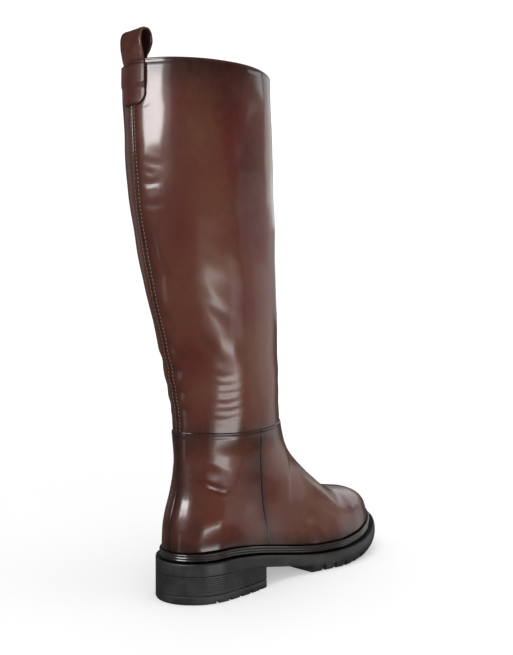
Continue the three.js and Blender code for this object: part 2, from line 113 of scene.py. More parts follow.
def curve(xs, ys):
    """A smooth curve through the points that never overshoots them."""
    xs, ys = np.array(xs, float), np.array(ys, float)
    run = np.diff(xs)
    rise = np.diff(ys) / run
    before, after = 2 * run[1:] + run[:-1], run[1:] + 2 * run[:-1]
    same_way = rise[:-1] * rise[1:] > 0
    safe = np.where(same_way, rise[:-1], 1), np.where(same_way, rise[1:], 1)
    inner = np.where(same_way, (before + after) / (before / safe[0] + after / safe[1]), 0)
    slope = np.r_[rise[0], inner, rise[-1]]

    def at(x):
        x = np.asarray(x, float)
        held = np.clip(x, xs[0], xs[-1])
        i = np.clip(np.searchsorted(xs, held, side="right") - 1, 0, len(run) - 1)
        h, t = run[i], (held - xs[i]) / run[i]
        value = (
            (1 + 2 * t) * (1 - t) ** 2 * ys[i] + t * (1 - t) ** 2 * h * slope[i]
            + t * t * (3 - 2 * t) * ys[i + 1] + t * t * (t - 1) * h * slope[i + 1]
        )
        beyond = np.where(x < xs[0], slope[0] * (x - xs[0]), slope[-1] * np.maximum(0, x - xs[-1]))
        return value + beyond

    return at


def distance_walked(line):
    """How far along a line each of its points lies."""
    return np.r_[0, np.cumsum(np.linalg.norm(np.diff(line, axis=0), axis=1))]


def read_along(line, lengths, places):
    """What a line has at the given places along it, where its points lie at `lengths`."""
    return np.stack([np.interp(places, lengths, c) for c in line.T], axis=-1)


def close_at_ends(count):
    """`count` steps from 0 to 1, set close together at both ends."""
    return (1 - np.cos(np.linspace(0, np.pi, count + 1))) / 2


LAST_START, LAST_END = LAST_OUTLINE[0, 0], LAST_OUTLINE[-1, 0]
last_centre = curve(LAST_OUTLINE[:, 0], LAST_OUTLINE[:, 1])
last_half_squared = curve(LAST_OUTLINE[:, 0], LAST_OUTLINE[:, 2] ** 2)
back_line = curve(PROFILE[:, 0], PROFILE[:, 1])
front_line = curve(PROFILE[:, 0], PROFILE[:, 2])
leg_half = curve(PROFILE[:, 0], PROFILE[:, 3])
RIDGE_HEIGHTS = np.linspace(36, COLLAR_HEIGHT, 4000)
RIDGE_FRONTS = front_line(RIDGE_HEIGHTS)


def toe_spring(y):
    return TOE_SPRING * np.maximum(0, (y - SPRING_START) / (LAST_END - SPRING_START)) ** 1.6


def feather_height(y):
    """Height of the upper's lower edge, from the heel seat down to the ball and up to the toe."""
    return mix(HEEL_SEAT_HEIGHT, BALL_HEIGHT, eased(y, SHANK)) + toe_spring(y)


def sole_top(y):
    return feather_height(y) - WELT_HEIGHT - GAP


def sole_underside(y):
    return sole_top(y) - SOLE_THICKNESS


def ankle_seam(y):
    back, front = ANKLE_SEAM_SPAN
    dip = ANKLE_SEAM_DIP * np.sin(np.pi * np.clip((y - back) / (front - back), 0, 1))
    return ANKLE_SEAM_HEIGHT + ANKLE_SEAM_SLOPE * y - dip


def ridge_height(y):
    return np.interp(-y, -RIDGE_FRONTS, RIDGE_HEIGHTS)


def half_squared(y, z):
    """Square of the half width at (y, z); below zero the point is outside the boot."""
    back, front = back_line(z), front_line(z)
    shift = (back - LAST_START) * np.clip(1 - (y - back) / HEEL_FADE, 0, 1)
    on_last = y - shift
    low = feather_height(y)
    rise = np.maximum(0, (z - low) / (ridge_height(y) - low))
    foot = last_half_squared(on_last) * (1 - rise**FOOT_ARCH)
    along = np.clip((y - back) / (front - back), 0, 1)
    shifted = along - WIDEST_SHIFT * np.sin(np.pi * along)
    power = mix(2 * BACK_POINT, 2 * FRONT_ROUND, ease(along))
    leg = leg_half(z) ** 2 * np.clip(4 * shifted * (1 - shifted), 0, 1) ** power
    whole = mix(foot, leg, eased(z, FOOT_TO_LEG))
    outside = (y < back) | (y > front) | (on_last <= LAST_START) | (on_last >= LAST_END)
    return np.where(outside, -1.0, whole)


def centre_line(y, z):
    low, high = SWING_FADE
    return (1 - np.clip((z - low) / (high - low), 0, 1)) * last_centre(y)


RING_STEPS = 240  # along each side


class Ring:
    """The closed loop where the surface z = height_at(y) cuts the boot. It starts at the back seam
    and runs along the outer side to the front, then back along the inner side."""

    def __init__(self, height_at):
        def inside(y):
            return half_squared(y, height_at(y)) > 0

        scan = np.linspace(-45, LAST_END + 1, 1200)
        kept = np.flatnonzero(inside(scan))
        outer = np.array([scan[kept[0] - 1], scan[min(kept[-1] + 1, len(scan) - 1)]])
        within = np.array([scan[kept[0]], scan[kept[-1]]])
        for _ in range(24):
            middle = (outer + within) / 2
            held = inside(middle)
            within = np.where(held, middle, within)
            outer = np.where(held, outer, middle)
        y = mix(within[0], within[1], close_at_ends(RING_STEPS))
        z = height_at(y) + 0 * y
        half = np.sqrt(np.maximum(0, half_squared(y, z)))
        half[[0, -1]] = 0
        side = np.r_[half, -half[-2::-1]]
        y, z = np.r_[y, y[-2::-1]], np.r_[z, z[-2::-1]]
        self.points = np.c_[centre_line(y, z) + side, y, z]
        self.lengths = distance_walked(self.points)
        self.round = self.lengths[-1]

    def at(self, around):
        """Points `around` mm from the back seam, positive to the outer side."""
        return read_along(self.points, self.lengths, np.mod(around, self.round))


def level(z):
    """A surface of one height, as Ring and rail take it."""
    return lambda y: z + 0 * y


def on_skin(around, z):
    """The point on the boot's skin at height z, `around` mm from the back seam."""
    return Ring(level(z)).at(around)


# ---- shader building --------------------------------------------------------------------------


def new_group(name, inputs, outputs):
    """An empty shader node group with named sockets: (name, kind, value) and (name, kind)."""
    group = bpy.data.node_groups.new(name, "ShaderNodeTree")
    for label, kind, value in inputs:
        socket = group.interface.new_socket(label, in_out="INPUT", socket_type="NodeSocket" + kind)
        if value is not None:
            socket.default_value = value
    for label, kind in outputs:
        group.interface.new_socket(label, in_out="OUTPUT", socket_type="NodeSocket" + kind)
    return group, group.nodes.new("NodeGroupInput").outputs, group.nodes.new("NodeGroupOutput").inputs


def add(tree, kind, sockets=None, **settings):
    """A node with its settings and what its sockets are given."""
    node = tree.nodes.new("ShaderNode" + kind)
    for key, value in settings.items():
        setattr(node, key, value)
    feed(tree, node, sockets or {})
    return node


def feed(tree, node, sockets):
    """Each socket gets a value or is linked from another node's output."""
    for key, value in sockets.items():
        if isinstance(value, bpy.types.NodeSocket):
            tree.links.new(value, node.inputs[key])
        else:
            node.inputs[key].default_value = value


def math_node(tree, operation, a, b, clamp=False):
    return add(tree, "Math", {0: a, 1: b}, operation=operation, use_clamp=clamp).outputs[0]


def mix_colour(tree, factor, a, b):
    return add(tree, "Mix", {0: factor, 6: a, 7: b}, data_type="RGBA").outputs[2]


def noise(tree, vector, scale, detail, roughness, distortion=0.0):
    return add(tree, "TexNoise", {
        "Vector": vector, "Scale": scale, "Detail": detail, "Roughness": roughness,
        "Distortion": distortion,
    }).outputs["Fac"]


def spread(tree, value, low, high, out_low=0.0, out_high=1.0):
    node = add(tree, "MapRange", {
        "Value": value, "From Min": low, "From Max": high, "To Min": out_low, "To Max": out_high,
    }, interpolation_type="SMOOTHSTEP")
    return node.outputs["Result"]


def grain_group():
    """Fine pores and faint wrinkles of smooth leather, as a height."""
    group, given, put = new_group(
        "leather_grain",
        [("Vector", "Vector", None), ("Wrinkles", "Float", 1.0)],
        [("Height", "Float")],
    )
    pores = add(group, "TexVoronoi", {"Vector": given["Vector"], "Scale": 1500.0}).outputs["Distance"]
    pores = spread(group, pores, 0.0, 0.45)
    wrinkles = noise(group, given["Vector"], 420.0, 4.0, 0.6, 0.6)
    wrinkles = math_node(group, "MULTIPLY", wrinkles, given["Wrinkles"])
    group.links.new(math_node(group, "ADD", pores, wrinkles), put["Height"])
    return group


def finish_group():
    """Hand-polished colour: patches of lighter and redder leather, darkened where burnished, with
    painted shade along the creases and on the pull loop's inner face.
    """
    group, given, put = new_group(
        "polished_colour",
        [
            ("Vector", "Vector", None), ("Base", "Color", None), ("Red", "Color", None),
            ("Tan", "Color", None), ("Dark", "Color", None), ("Burnish And Shade", "Float", 0.0),
            ("Crease Shade", "Float", 0.0), ("Redder", "Float", 0.0), ("Tanner", "Float", 0.0),
            ("Patch Size", "Float", 14.0),
        ],
        [("Color", "Color")],
    )
    cloud = noise(group, given["Vector"], given["Patch Size"], 3.0, 0.5, 0.4)
    shifted = add(group, "VectorMath", {0: given["Vector"], 1: (3.1, 1.7, 0.4)}, operation="ADD")
    red = noise(group, shifted.outputs[0], given["Patch Size"], 2.0, 0.5, 0.2)
    redder = math_node(group, "ADD", spread(group, red, 0.4, 0.65, -0.1, 0.35), given["Redder"], True)
    tanner = math_node(group, "ADD", spread(group, cloud, 0.45, 0.7, -0.15, 0.3), given["Tanner"], True)
    colour = mix_colour(group, redder, given["Base"], given["Red"])
    colour = mix_colour(group, tanner, colour, given["Tan"])
    fine = noise(group, given["Vector"], 160.0, 4.0, 0.65)
    # darkened by burnish and, on the pull loop's inner face, by painted shade
    burnish = math_node(
        group, "ADD", given["Burnish And Shade"], spread(group, fine, 0.3, 0.75, -0.1, 0.12), clamp=True
    )
    colour = mix_colour(group, burnish, colour, given["Dark"])
    # painted shade: the leather is darkened along its creases
    creased = math_node(group, "MULTIPLY", given["Crease Shade"], 0.45, clamp=True)
    colour = mix_colour(group, creased, colour, given["Dark"])
    group.links.new(colour, put["Color"])
    return group


def speckle_group():
    """The faint mottle and moulded texture of rubber: a mask and a height."""
    group, given, put = new_group(
        "moulded_rubber",
        [("Vector", "Vector", None), ("Size", "Float", 900.0)],
        [("Mask", "Float"), ("Height", "Float")],
    )
    broad = noise(group, given["Vector"], 45.0, 4.0, 0.6)
    fine = noise(group, given["Vector"], given["Size"], 3.0, 0.6)
    group.links.new(spread(group, broad, 0.35, 0.7), put["Mask"])
    group.links.new(fine, put["Height"])
    return group


def use_group(tree, group, sockets):
    node = tree.nodes.new("ShaderNodeGroup")
    node.node_tree = group
    feed(tree, node, sockets)
    return node.outputs


def new_material(name):
    material = bpy.data.materials.new(name)
    material.use_nodes = True
    tree = material.node_tree
    shader = tree.nodes["Principled BSDF"]
    vector = add(tree, "TexCoord").outputs["Object"]
    return material, tree, shader, vector


def set_plain(shader, **values):
    for key, value in values.items():
        shader.inputs[key.replace("_", " ")].default_value = value


def mask_of(tree, name):
    return add(tree, "Attribute", attribute_name=name, attribute_type="GEOMETRY").outputs["Fac"]


def bump(tree, shader, height, strength, distance):
    node = add(tree, "Bump", {"Height": height, "Strength": strength, "Distance": distance})
    tree.links.new(node.outputs["Normal"], shader.inputs["Normal"])


def rgb(red, green, blue):
    """A colour from 0-255 screen values."""
    def linear(v):
        v /= 255
        return v / 12.92 if v <= 0.04045 else ((v + 0.055) / 1.055) ** 2.4

    return (linear(red), linear(green), linear(blue), 1.0)


def leather(name, base, red, tan, dark, shine, patch_size=14.0, wrinkles=1.0):
    """Smooth polished leather. shine: roughness, how much the leather itself shines, coat, coat
    roughness."""
    material, tree, shader, vector = new_material(name)
    colour = use_group(tree, FINISH, {
        "Vector": vector, "Base": base, "Red": red, "Tan": tan, "Dark": dark,
        "Burnish And Shade": mask_of(tree, "burnish"), "Crease Shade": mask_of(tree, "creased"),
        "Redder": mask_of(tree, "redder"), "Tanner": mask_of(tree, "tanner"),
        "Patch Size": patch_size,
    })
    tree.links.new(colour["Color"], shader.inputs["Base Color"])
    rough, specular, coat, coat_rough = shine
    set_plain(shader, Roughness=rough, Specular_IOR_Level=specular)
    set_plain(shader, Coat_Weight=coat, Coat_Roughness=coat_rough, Coat_IOR=1.5)
    grain = use_group(tree, GRAIN, {"Vector": vector, "Wrinkles": wrinkles})
    bump(tree, shader, grain["Height"], 0.35, 0.00008)
    return material


def rubber(name, base, worn, shine):
    material, tree, shader, vector = new_material(name)
    speckle = use_group(tree, SPECKLE, {"Vector": vector, "Size": 1100.0})
    colour = mix_colour(tree, speckle["Mask"], base, worn)
    tree.links.new(colour, shader.inputs["Base Color"])
    tree.links.new(spread(tree, speckle["Mask"], 0, 1, shine[0], shine[1]), shader.inputs["Roughness"])
    bump(tree, shader, speckle["Height"], 0.3, 0.00012)
    return material


def waxed_thread():
    material, tree, shader, vector = new_material("waxed_thread")
    twist = add(tree, "TexWave", {"Vector": vector, "Scale": 900.0, "Distortion": 2.0})
    dark = mix_colour(tree, twist.outputs["Fac"], rgb(46, 27, 23), rgb(76, 48, 38))
    # pale thread: a lighter thread colour that is partly a painted highlight, where the back of the boot
    # catches the light
    pale = mix_colour(tree, twist.outputs["Fac"], rgb(112, 80, 64), rgb(172, 138, 114))
    colour = mix_colour(tree, mask_of(tree, "pale"), dark, pale)
    tree.links.new(colour, shader.inputs["Base Color"])
    set_plain(shader, Roughness=0.55)
    bump(tree, shader, twist.outputs["Fac"], 0.4, 0.0001)
    return material


GRAIN, FINISH, SPECKLE = grain_group(), finish_group(), speckle_group()
MATERIALS = {
    "boot_leather": leather(
        "burnished_calf", rgb(94, 47, 33), rgb(88, 34, 27), rgb(98, 60, 41), rgb(30, 16, 14),
        (0.34, 0.22, 0.95, 0.145),
    ),
    "trim_leather": leather(
        "trim_calf", rgb(82, 38, 31), rgb(76, 27, 24), rgb(104, 68, 48), rgb(26, 14, 13),
        (0.42, 0.25, 0.5, 0.18), patch_size=60.0, wrinkles=1.6,
    ),
    "lining_leather": leather(
        "lining_calf", rgb(134, 100, 72), rgb(128, 92, 66), rgb(150, 116, 84), rgb(80, 54, 38),
        (0.62, 0.3, 0.0, 0.3), patch_size=30.0,
    ),
    "insole_leather": leather(
        "sock_calf", rgb(150, 114, 82), rgb(142, 104, 74), rgb(164, 128, 94), rgb(86, 60, 42),
        (0.66, 0.3, 0.0, 0.3), patch_size=30.0,
    ),
    "welt_leather": leather(
        "waxed_welt", rgb(40, 32, 31), rgb(44, 30, 29), rgb(54, 46, 42), rgb(20, 16, 15),
        (0.3, 0.5, 0.9, 0.12), patch_size=40.0,
    ),
    "sole_rubber": rubber("moulded_rubber", rgb(38, 38, 38), rgb(54, 54, 53), (0.36, 0.5)),
    "thread": waxed_thread(),
}


# ---- mesh building ----------------------------------------------------------------------------


def add_object(name, data):
    obj = bpy.data.objects.new(name, data)
    bpy.context.scene.collection.objects.link(obj)
    return obj


def new_mesh(name, points, faces):
    mesh = bpy.data.meshes.new(name)
    placed = (np.asarray(points, float).reshape(-1, 3) - (0, HEEL_MIDDLE, 0)) * MM
    mesh.from_pydata(placed.tolist(), [], faces)
    mesh.update()
    return mesh


def piece(name, points, faces, slot, replaces=(), masks=None):
    """A smooth-shaded object that rides on the boot and takes its finish from a material slot."""
    mesh = new_mesh(name, points, faces)
    mesh.shade_smooth()
    for mask, values in (masks or {}).items():
        layer = mesh.attributes.new(mask, "FLOAT", "POINT")
        layer.data.foreach_set("value", np.asarray(values, np.float32).ravel())
    obj = add_object(name, mesh)
    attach(obj, "root")
    if replaces:
        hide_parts(*replaces)
    obj.data.materials.append(MATERIALS[slot])
    return obj


def grid_quads(rows, columns, first=0, wrap=False, flip=False):
    r = np.arange(rows - 1)[:, None]
    c = np.arange(columns if wrap else columns - 1)[None, :]
    after = (c + 1) % columns
    quads = [r * columns + c, r * columns + after, (r + 1) * columns + after, (r + 1) * columns + c]
    quads = np.stack([q + first for q in quads], axis=-1).reshape(-1, 4)
    return (quads[:, ::-1] if flip else quads).tolist()


def shell(outer, inner):
    """Points and faces of a sheet with thickness between two grids of the same size."""
    rows, columns = outer.shape[:2]
    count = rows * columns
    faces = grid_quads(rows, columns) + grid_quads(rows, columns, count, flip=True)
    at = np.arange(count).reshape(rows, columns)
    rim = np.r_[at[0, :-1], at[:-1, -1], at[-1, :0:-1], at[:0:-1, 0]]
    after = np.roll(rim, -1)
    faces += np.stack([after, rim, rim + count, after + count], axis=-1).tolist()
    return np.concatenate([outer.reshape(-1, 3), inner.reshape(-1, 3)]), faces


def facing(points):
    """Which way a grid of points faces: outwards, for rows that climb and columns that run on."""
    normal = np.cross(np.gradient(points, axis=1), np.gradient(points, axis=0))
    return normal / np.maximum(np.linalg.norm(normal, axis=-1, keepdims=True), 1e-9)


def run_along(points, axis):
    """Distance walked along each row (axis 1) or column (axis 0) of a grid."""
    steps = np.linalg.norm(np.diff(points, axis=axis), axis=-1)
    start = np.zeros_like(np.take(steps, [0], axis=axis))
    return np.concatenate([start, np.cumsum(steps, axis=axis)], axis=axis)


EDGE_STEPS = np.array([0, 0.1, 0.3, 0.65, 1.1, 1.7])


def stations(start, end, count):
    """`count` places from start to end in mm, set close together at both ends."""
    evenly = np.linspace(start + 2.4, end - 2.4, count - 2 * len(EDGE_STEPS))
    return np.r_[start + EDGE_STEPS, evenly, end - EDGE_STEPS[::-1]]


def edge_drop(distance, radius):
    """How far a rounded edge has fallen at that distance from the edge."""
    if radius <= 0:
        return 0 * distance
    short = np.clip(radius - distance, 0, radius)
    return radius - np.sqrt(radius**2 - short**2)


# ---- creases and swells of the leather --------------------------------------------------------

CREASE_RIM = 0.45  # a crease's raised rims, as a share of its depth
RIM_AT = 2.1  # how far from its line they stand, in its half widths
# Each crease is a line over the skin, its points given as (around, height), then its half width
# and its depth. A negative depth makes a ridge.
CREASES = [
    # under the patch and down the outer side of the back seam
    ([(6, 386), (13, 386), (18, 389)], 1.6, 0.24), ([(7, 349), (14, 346), (24, 344)], 2.2, 0.14),
    ([(9, 341), (13, 338), (18, 338)], 1.6, 0.18), ([(5, 333), (13, 330), (22, 332)], 2.6, 0.24),
    ([(10, 325), (14, 324), (19, 326)], 1.4, 0.12), ([(4, 317), (13, 314), (23, 316)], 2.4, 0.22),
    ([(5, 302), (4, 286), (5, 270), (8, 254)], 2.8, 0.36),
    ([(14, 306), (11, 290), (13, 274), (18, 258)], 3.6, -0.34),
    ([(4, 240), (10, 229), (14, 216)], 2.4, 0.26), ([(5, 211), (11, 201), (19, 193)], 2.8, 0.30),
    ([(16, 214), (20, 204), (28, 196)], 2.6, 0.16),
    # soft folds across the back above the ankle
    ([(-34, 192), (-16, 194), (0, 189), (12, 185)], 4.5, 0.75),
    ([(-30, 172), (-12, 172), (2, 170), (14, 167)], 3.6, 0.55),
    ([(-26, 156), (-10, 157), (3, 155), (14, 153)], 2.8, 0.42),
    # wrinkles across the outer side above the ankle seam
    ([(34, 184), (43, 180), (54, 181)], 2.2, 0.09), ([(29, 175), (43, 173), (59, 174)], 1.7, 0.11),
    ([(33, 167), (42, 166), (62, 169)], 1.8, 0.09), ([(27, 160), (43, 158), (58, 161)], 1.7, 0.12),
    ([(31, 153), (45, 152), (63, 155)], 1.6, 0.10), ([(29, 146), (41, 145), (56, 148)], 1.6, 0.09),
    ([(38, 246), (46, 238), (62, 224)], 4.0, 0.20), ([(30, 214), (38, 203), (46, 190)], 4.0, 0.22),
    ([(66, 232), (62, 214), (66, 196)], 4.0, 0.16),
    # across the front, where the ankle bends
    ([(112, 176), (128, 171), (145, 169), (162, 171), (178, 177)], 4.5, 0.35),
    ([(116, 157), (130, 153), (143, 152), (160, 154), (172, 158)], 3.8, 0.28),
    ([(118, 197), (136, 191), (154, 191), (176, 198)], 5.0, 0.25),
    ([(128, 112), (146, 107), (160, 106), (176, 108), (194, 113)], 4.5, 0.3),
    # the same on the inner side, where the ankle bends
    ([(-34, 181), (-45, 177), (-62, 178)], 2.0, 0.22), ([(-30, 166), (-44, 165), (-60, 167)], 1.8, 0.24),
    ([(-32, 153), (-46, 152), (-60, 154)], 1.6, 0.20), ([(-40, 236), (-50, 226), (-66, 220)], 3.2, 0.26),
    # across the heel counter
    ([(14, 97), (26, 91), (38, 86), (54, 83)], 1.5, 0.22), ([(12, 100), (24, 94), (36, 89)], 1.8, -0.2),
    ([(3, 110), (0, 103), (-2, 95)], 1.8, 0.22), ([(22, 114), (33, 107), (46, 102)], 3.0, 0.16),
    ([(-16, 97), (-28, 92), (-42, 87)], 1.8, 0.2),
]
# Each swell: around, height, how far it reaches around and up, and how high it stands.
SWELLS = [
    (52, 205, 12, 28, 0.9), (9, 99, 8, 13, 0.8), (50, 62, 20, 9, 1.1), (12, 52, 9, 9, 0.5),
    (40, 43, 26, 7.5, -0.7), (28, 122, 12, 9, 0.4), (32, 104, 9, 8, 0.35), (60, 330, 30, 60, 0.8),
    (-50, 330, 30, 60, 0.8), (110, 260, 30, 50, 0.6), (100, 396, 16, 14, -0.5),
    (34, 262, 12, 20, 0.5), (30, 196, 9, 18, -0.5),
]


def line_distance(points, line):
    """Distance to a line of points and the share of its length there."""
    walked = distance_walked(line)
    best = np.full(len(points), 1e9)
    share = np.zeros(len(points))
    for start, end, before, after in zip(line[:-1], line[1:], walked[:-1], walked[1:]):
        along = end - start
        t = np.clip(((points - start) @ along) / (along @ along), 0, 1)
        distance = np.linalg.norm(points - start - t[:, None] * along, axis=1)
        nearer = distance < best
        best = np.where(nearer, distance, best)
        share = np.where(nearer, mix(before, after, t) / walked[-1], share)
    return best, share


# Where the polish is redder, tanner or darker: around, height, reach around and up.
RED_PATCHES = [
    (30, 378, 16, 34), (28, 300, 14, 26), (86, 350, 18, 50), (20, 190, 14, 24), (100, 300, 22, 24),
    (40, 95, 18, 12), (-40, 360, 26, 50), (-30, 230, 24, 40), (-70, 180, 24, 30), (-40, 80, 22, 16),
    (150, 60, 22, 12), (-150, 55, 22, 12), (222, 50, 16, 10), (76, 236, 14, 20), (60, 58, 12, 10),
]
TAN_PATCHES = [
    (58, 370, 14, 34), (62, 318, 20, 36), (52, 266, 22, 34), (84, 200, 24, 40), (28, 170, 12, 22),
    (-64, 320, 26, 60), (-60, 230, 22, 40), (50, 110, 14, 10), (150, 78, 34, 16), (172, 60, 38, 18),
    (120, 110, 14, 20), (-150, 78, 34, 12), (-180, 60, 30, 9), (110, 104, 18, 18),
    (-110, 104, 18, 18), (-44, 110, 16, 12),
]
DARK_PATCHES = [
    (78, 396, 26, 30), (100, 350, 20, 60), (6, 90, 10, 26), (20, 60, 10, 8), (70, 96, 14, 26),
    (-78, 396, 26, 30), (-74, 96, 14, 26), (225, 44, 14, 8), (-20, 400, 14, 26),
]


def patches(points, table):
    """How strongly a table's patches show at each point of a grid."""
    flat = points.reshape(-1, 3)
    shown = np.zeros(len(flat))
    for around, z, reach_around, reach_up in table:
        offset = flat - on_skin(around, z)
        level_distance = np.hypot(offset[:, 0], offset[:, 1])
        shown = np.maximum(shown, bell(level_distance, reach_around) * bell(offset[:, 2], reach_up))
    return shown


# The leather's slow unevenness: direction, wave length, height.
WAVES = np.array([
    (0.2, 0.9, 0.4, 71, 0.22), (-0.5, 0.6, 0.9, 53, 0.18), (0.8, -0.2, 0.6, 39, 0.12),
    (0.1, 0.7, -0.7, 31, 0.08), (-0.7, -0.4, 0.5, 23, 0.05), (0.5, 0.3, 1.0, 15, 0.018),
])


def relief(points):
    """How far the leather stands off the form at each point of a grid, and how strongly painted crease
    shade darkens it.
    """
    flat = points.reshape(-1, 3)
    height = np.zeros(len(flat))
    creased = np.zeros(len(flat))
    for k, (x, y, z, length, amount) in enumerate(WAVES):
        direction = np.array([x, y, z]) / np.linalg.norm([x, y, z])
        height += amount * np.sin(flat @ direction * 2 * np.pi / length + 1.7 * k)
    for places, width, depth in CREASES:
        line = np.array([on_skin(around, z) for around, z in places])
        low, high = line.min(0) - 5 * width, line.max(0) + 5 * width
        near = np.flatnonzero(((flat > low) & (flat < high)).all(1))
        if len(near) == 0:
            continue
        distance, share = line_distance(flat[near], line)
        taper = np.sqrt(np.clip(4 * share * (1 - share), 0, 1))
        trough = bell(distance, width)
        height[near] -= taper * depth * (trough - CREASE_RIM * bell(distance - RIM_AT * width, width))
        # painted crease shade: the colour darkens along each crease line
        creased[near] = np.maximum(creased[near], taper * trough * min(1, abs(depth) / 0.5))
    for around, z, reach_around, reach_up, amount in SWELLS:
        beside = on_skin(around + 2, z) - on_skin(around - 2, z)
        beside /= np.linalg.norm(beside)
        offset = flat - on_skin(around, z)
        sideways, upward = offset @ beside, offset[:, 2]
        through = offset - sideways[:, None] * beside - upward[:, None] * (0, 0, 1)
        height += (
            amount * bell(sideways, reach_around) * bell(upward, reach_up)
            * bell(np.linalg.norm(through, axis=1), 25)  # keeps it off the boot's other side
        )
    return height.reshape(points.shape[:2]), creased.reshape(points.shape[:2])


# ---- upper ------------------------------------------------------------------------------------

LEATHER = 1.3
LAP = 0.9  # the foot's leather lies on the shaft's at the ankle seam
LAP_FADE = 26
# The edges of a panel come as left, right, bottom and top: how far each is rounded, and how much
# and how far in it is burnished.
FOOT_ROUND, SHAFT_ROUND = (1.1, 1.1, 1.2, 0.7), (0.9, 0.9, 0, 1.0)
FOOT_DARK = [(0.55, 7), (0.55, 7), (0.7, 11), (0.6, 16)]
SHAFT_DARK = [(0.5, 7), (0.5, 7), (0.6, 18), (0.8, 20)]
LEFT, RIGHT, TOP = 0, 1, 3
DARK_AMOUNT, TAN_AMOUNT = 0.45, 0.65  # how strongly the patches of polish show
PALE_RIM = 0.9  # how far the shaft's pale cut edge reaches
SEAM_DARK, SEAM_DARK_REACH = 0.8, 1.5  # the darker line right at an edge
GROOVE_DEPTH, GROOVE_WIDTH = 0.28, 0.75  # that a row of stitches presses in
SHAFT_TUCK = 9  # how far the shaft runs down under the foot's leather
SIDE_SEAM = curve([34, 46, 62, 77, 100, 123, 138], [96.5, 95, 91, 87.3, 83, 79.6, 78])
# How far from a panel's edge its stitches run.
ANKLE_INSET, COLLAR_INSET, BACK_INSET = 3.0, 2.4, 2.6


def foot_rings(count):
    """Rings from the sole to the ankle seam; their front ends climb the ridge in even steps."""
    z = np.linspace(36, 150, 3000)
    y = front_line(z)
    rise = (z - feather_height(y)) / (ankle_seam(y) - feather_height(y))
    y, z, rise = y[rise < 1], z[rise < 1], rise[rise < 1]
    climbed = np.r_[0, np.cumsum(np.hypot(np.diff(y), np.diff(z)))]
    shares = np.interp(stations(0, climbed[-1], count), climbed, rise)
    shares[0], shares[-1] = 0, 1
    return [Ring(lambda y, s=s: mix(feather_height(y), ankle_seam(y), s)) for s in shares]


def shaft_rings(count):
    total = COLLAR_HEIGHT - ANKLE_SEAM_HEIGHT + SHAFT_TUCK
    shares = stations(0, total, count) / total
    return [
        Ring(lambda y, s=s: mix(ankle_seam(y) - SHAFT_TUCK, COLLAR_HEIGHT, s)) for s in shares
    ]


def seam_around(ring, side):
    """Where the side seam crosses a ring."""
    steps = len(ring.points) // 2
    half = slice(0, steps + 1) if side > 0 else slice(steps, None)
    points, lengths = ring.points[half], ring.lengths[half]
    past = points[:, 1] - SIDE_SEAM(points[:, 2])
    order = slice(None) if side > 0 else slice(None, None, -1)
    return np.interp(0, past[order], lengths[order])


def leather_panel(name, points, rounds, dark, grooves, replaces, lift=None, rim=False):
    """A closed panel of leather over a grid. `grooves` are the stitch rows: (edge, inset). `rim`
    leaves the top edge pale. Returns the grid of its outer face and which way that faces."""
    normals = facing(points)
    across, up = run_along(points, 1), run_along(points, 0)
    from_edge = [across, across[:, -1:] - across, up, up[-1:] - up]
    height, creased = relief(points)
    if lift is not None:
        height = height + lift(from_edge)
    drop = sum(edge_drop(d, r) for d, r in zip(from_edge, rounds))
    for edge, inset in grooves:
        drop = drop + GROOVE_DEPTH * bell(from_edge[edge] - inset, GROOVE_WIDTH)
    kept = np.ones(points.shape[:2])
    for d, (amount, reach) in zip(from_edge, dark):
        kept = kept * (1 - amount * bell(d, reach)) * (1 - SEAM_DARK * amount * bell(d, SEAM_DARK_REACH))
    outer = points + normals * (height - np.minimum(drop, LEATHER - 0.15))[..., None]
    inner = points + normals * (height - LEATHER)[..., None]
    masks = {
        "burnish": 1 - kept * (1 - DARK_AMOUNT * patches(points, DARK_PATCHES).reshape(kept.shape)),
        # crease mask: painted shade along the creases
        "creased": np.clip(creased, 0, 1),
        "redder": patches(points, RED_PATCHES),
        "tanner": TAN_AMOUNT * patches(points, TAN_PATCHES),
    }
    if rim:
        pale = bell(from_edge[TOP], PALE_RIM)
        masks["burnish"] = masks["burnish"] * (1 - pale)
        masks["tanner"] = np.maximum(masks["tanner"].reshape(pale.shape), pale)
    masks = {mask: np.tile(values.ravel(), 2) for mask, values in masks.items()}
    piece(name, *shell(outer, inner), "boot_leather", replaces, masks)
    return outer, normals


# ---- stitches ---------------------------------------------------------------------------------


# A stitch of length 1 and radius 1: where its rings lie, how thick they are, how high they sit.
STITCH_ALONG = np.array([-0.5, -0.42, -0.25, 0, 0.25, 0.42, 0.5])
STITCH_GIRTH = np.array([0.25, 0.72, 0.95, 1.05, 0.95, 0.72, 0.25])
STITCH_HEIGHT = np.array([-1.1, -0.45, -0.05, 0.1, -0.05, -0.45, -1.1])
STITCH_SIDES = 6
STITCH_SINK = 0.12
STITCH_MARGIN = 1.5  # from a row's ends to the middle of its first and last stitch


def walk_line(line, pitch):
    """Evenly spaced stitch middles along a line."""
    lengths = distance_walked(line)
    last = lengths[-1] - STITCH_MARGIN
    count = max(2, int((last - STITCH_MARGIN) / pitch))
    return read_along(line, lengths, np.linspace(STITCH_MARGIN, last, count))


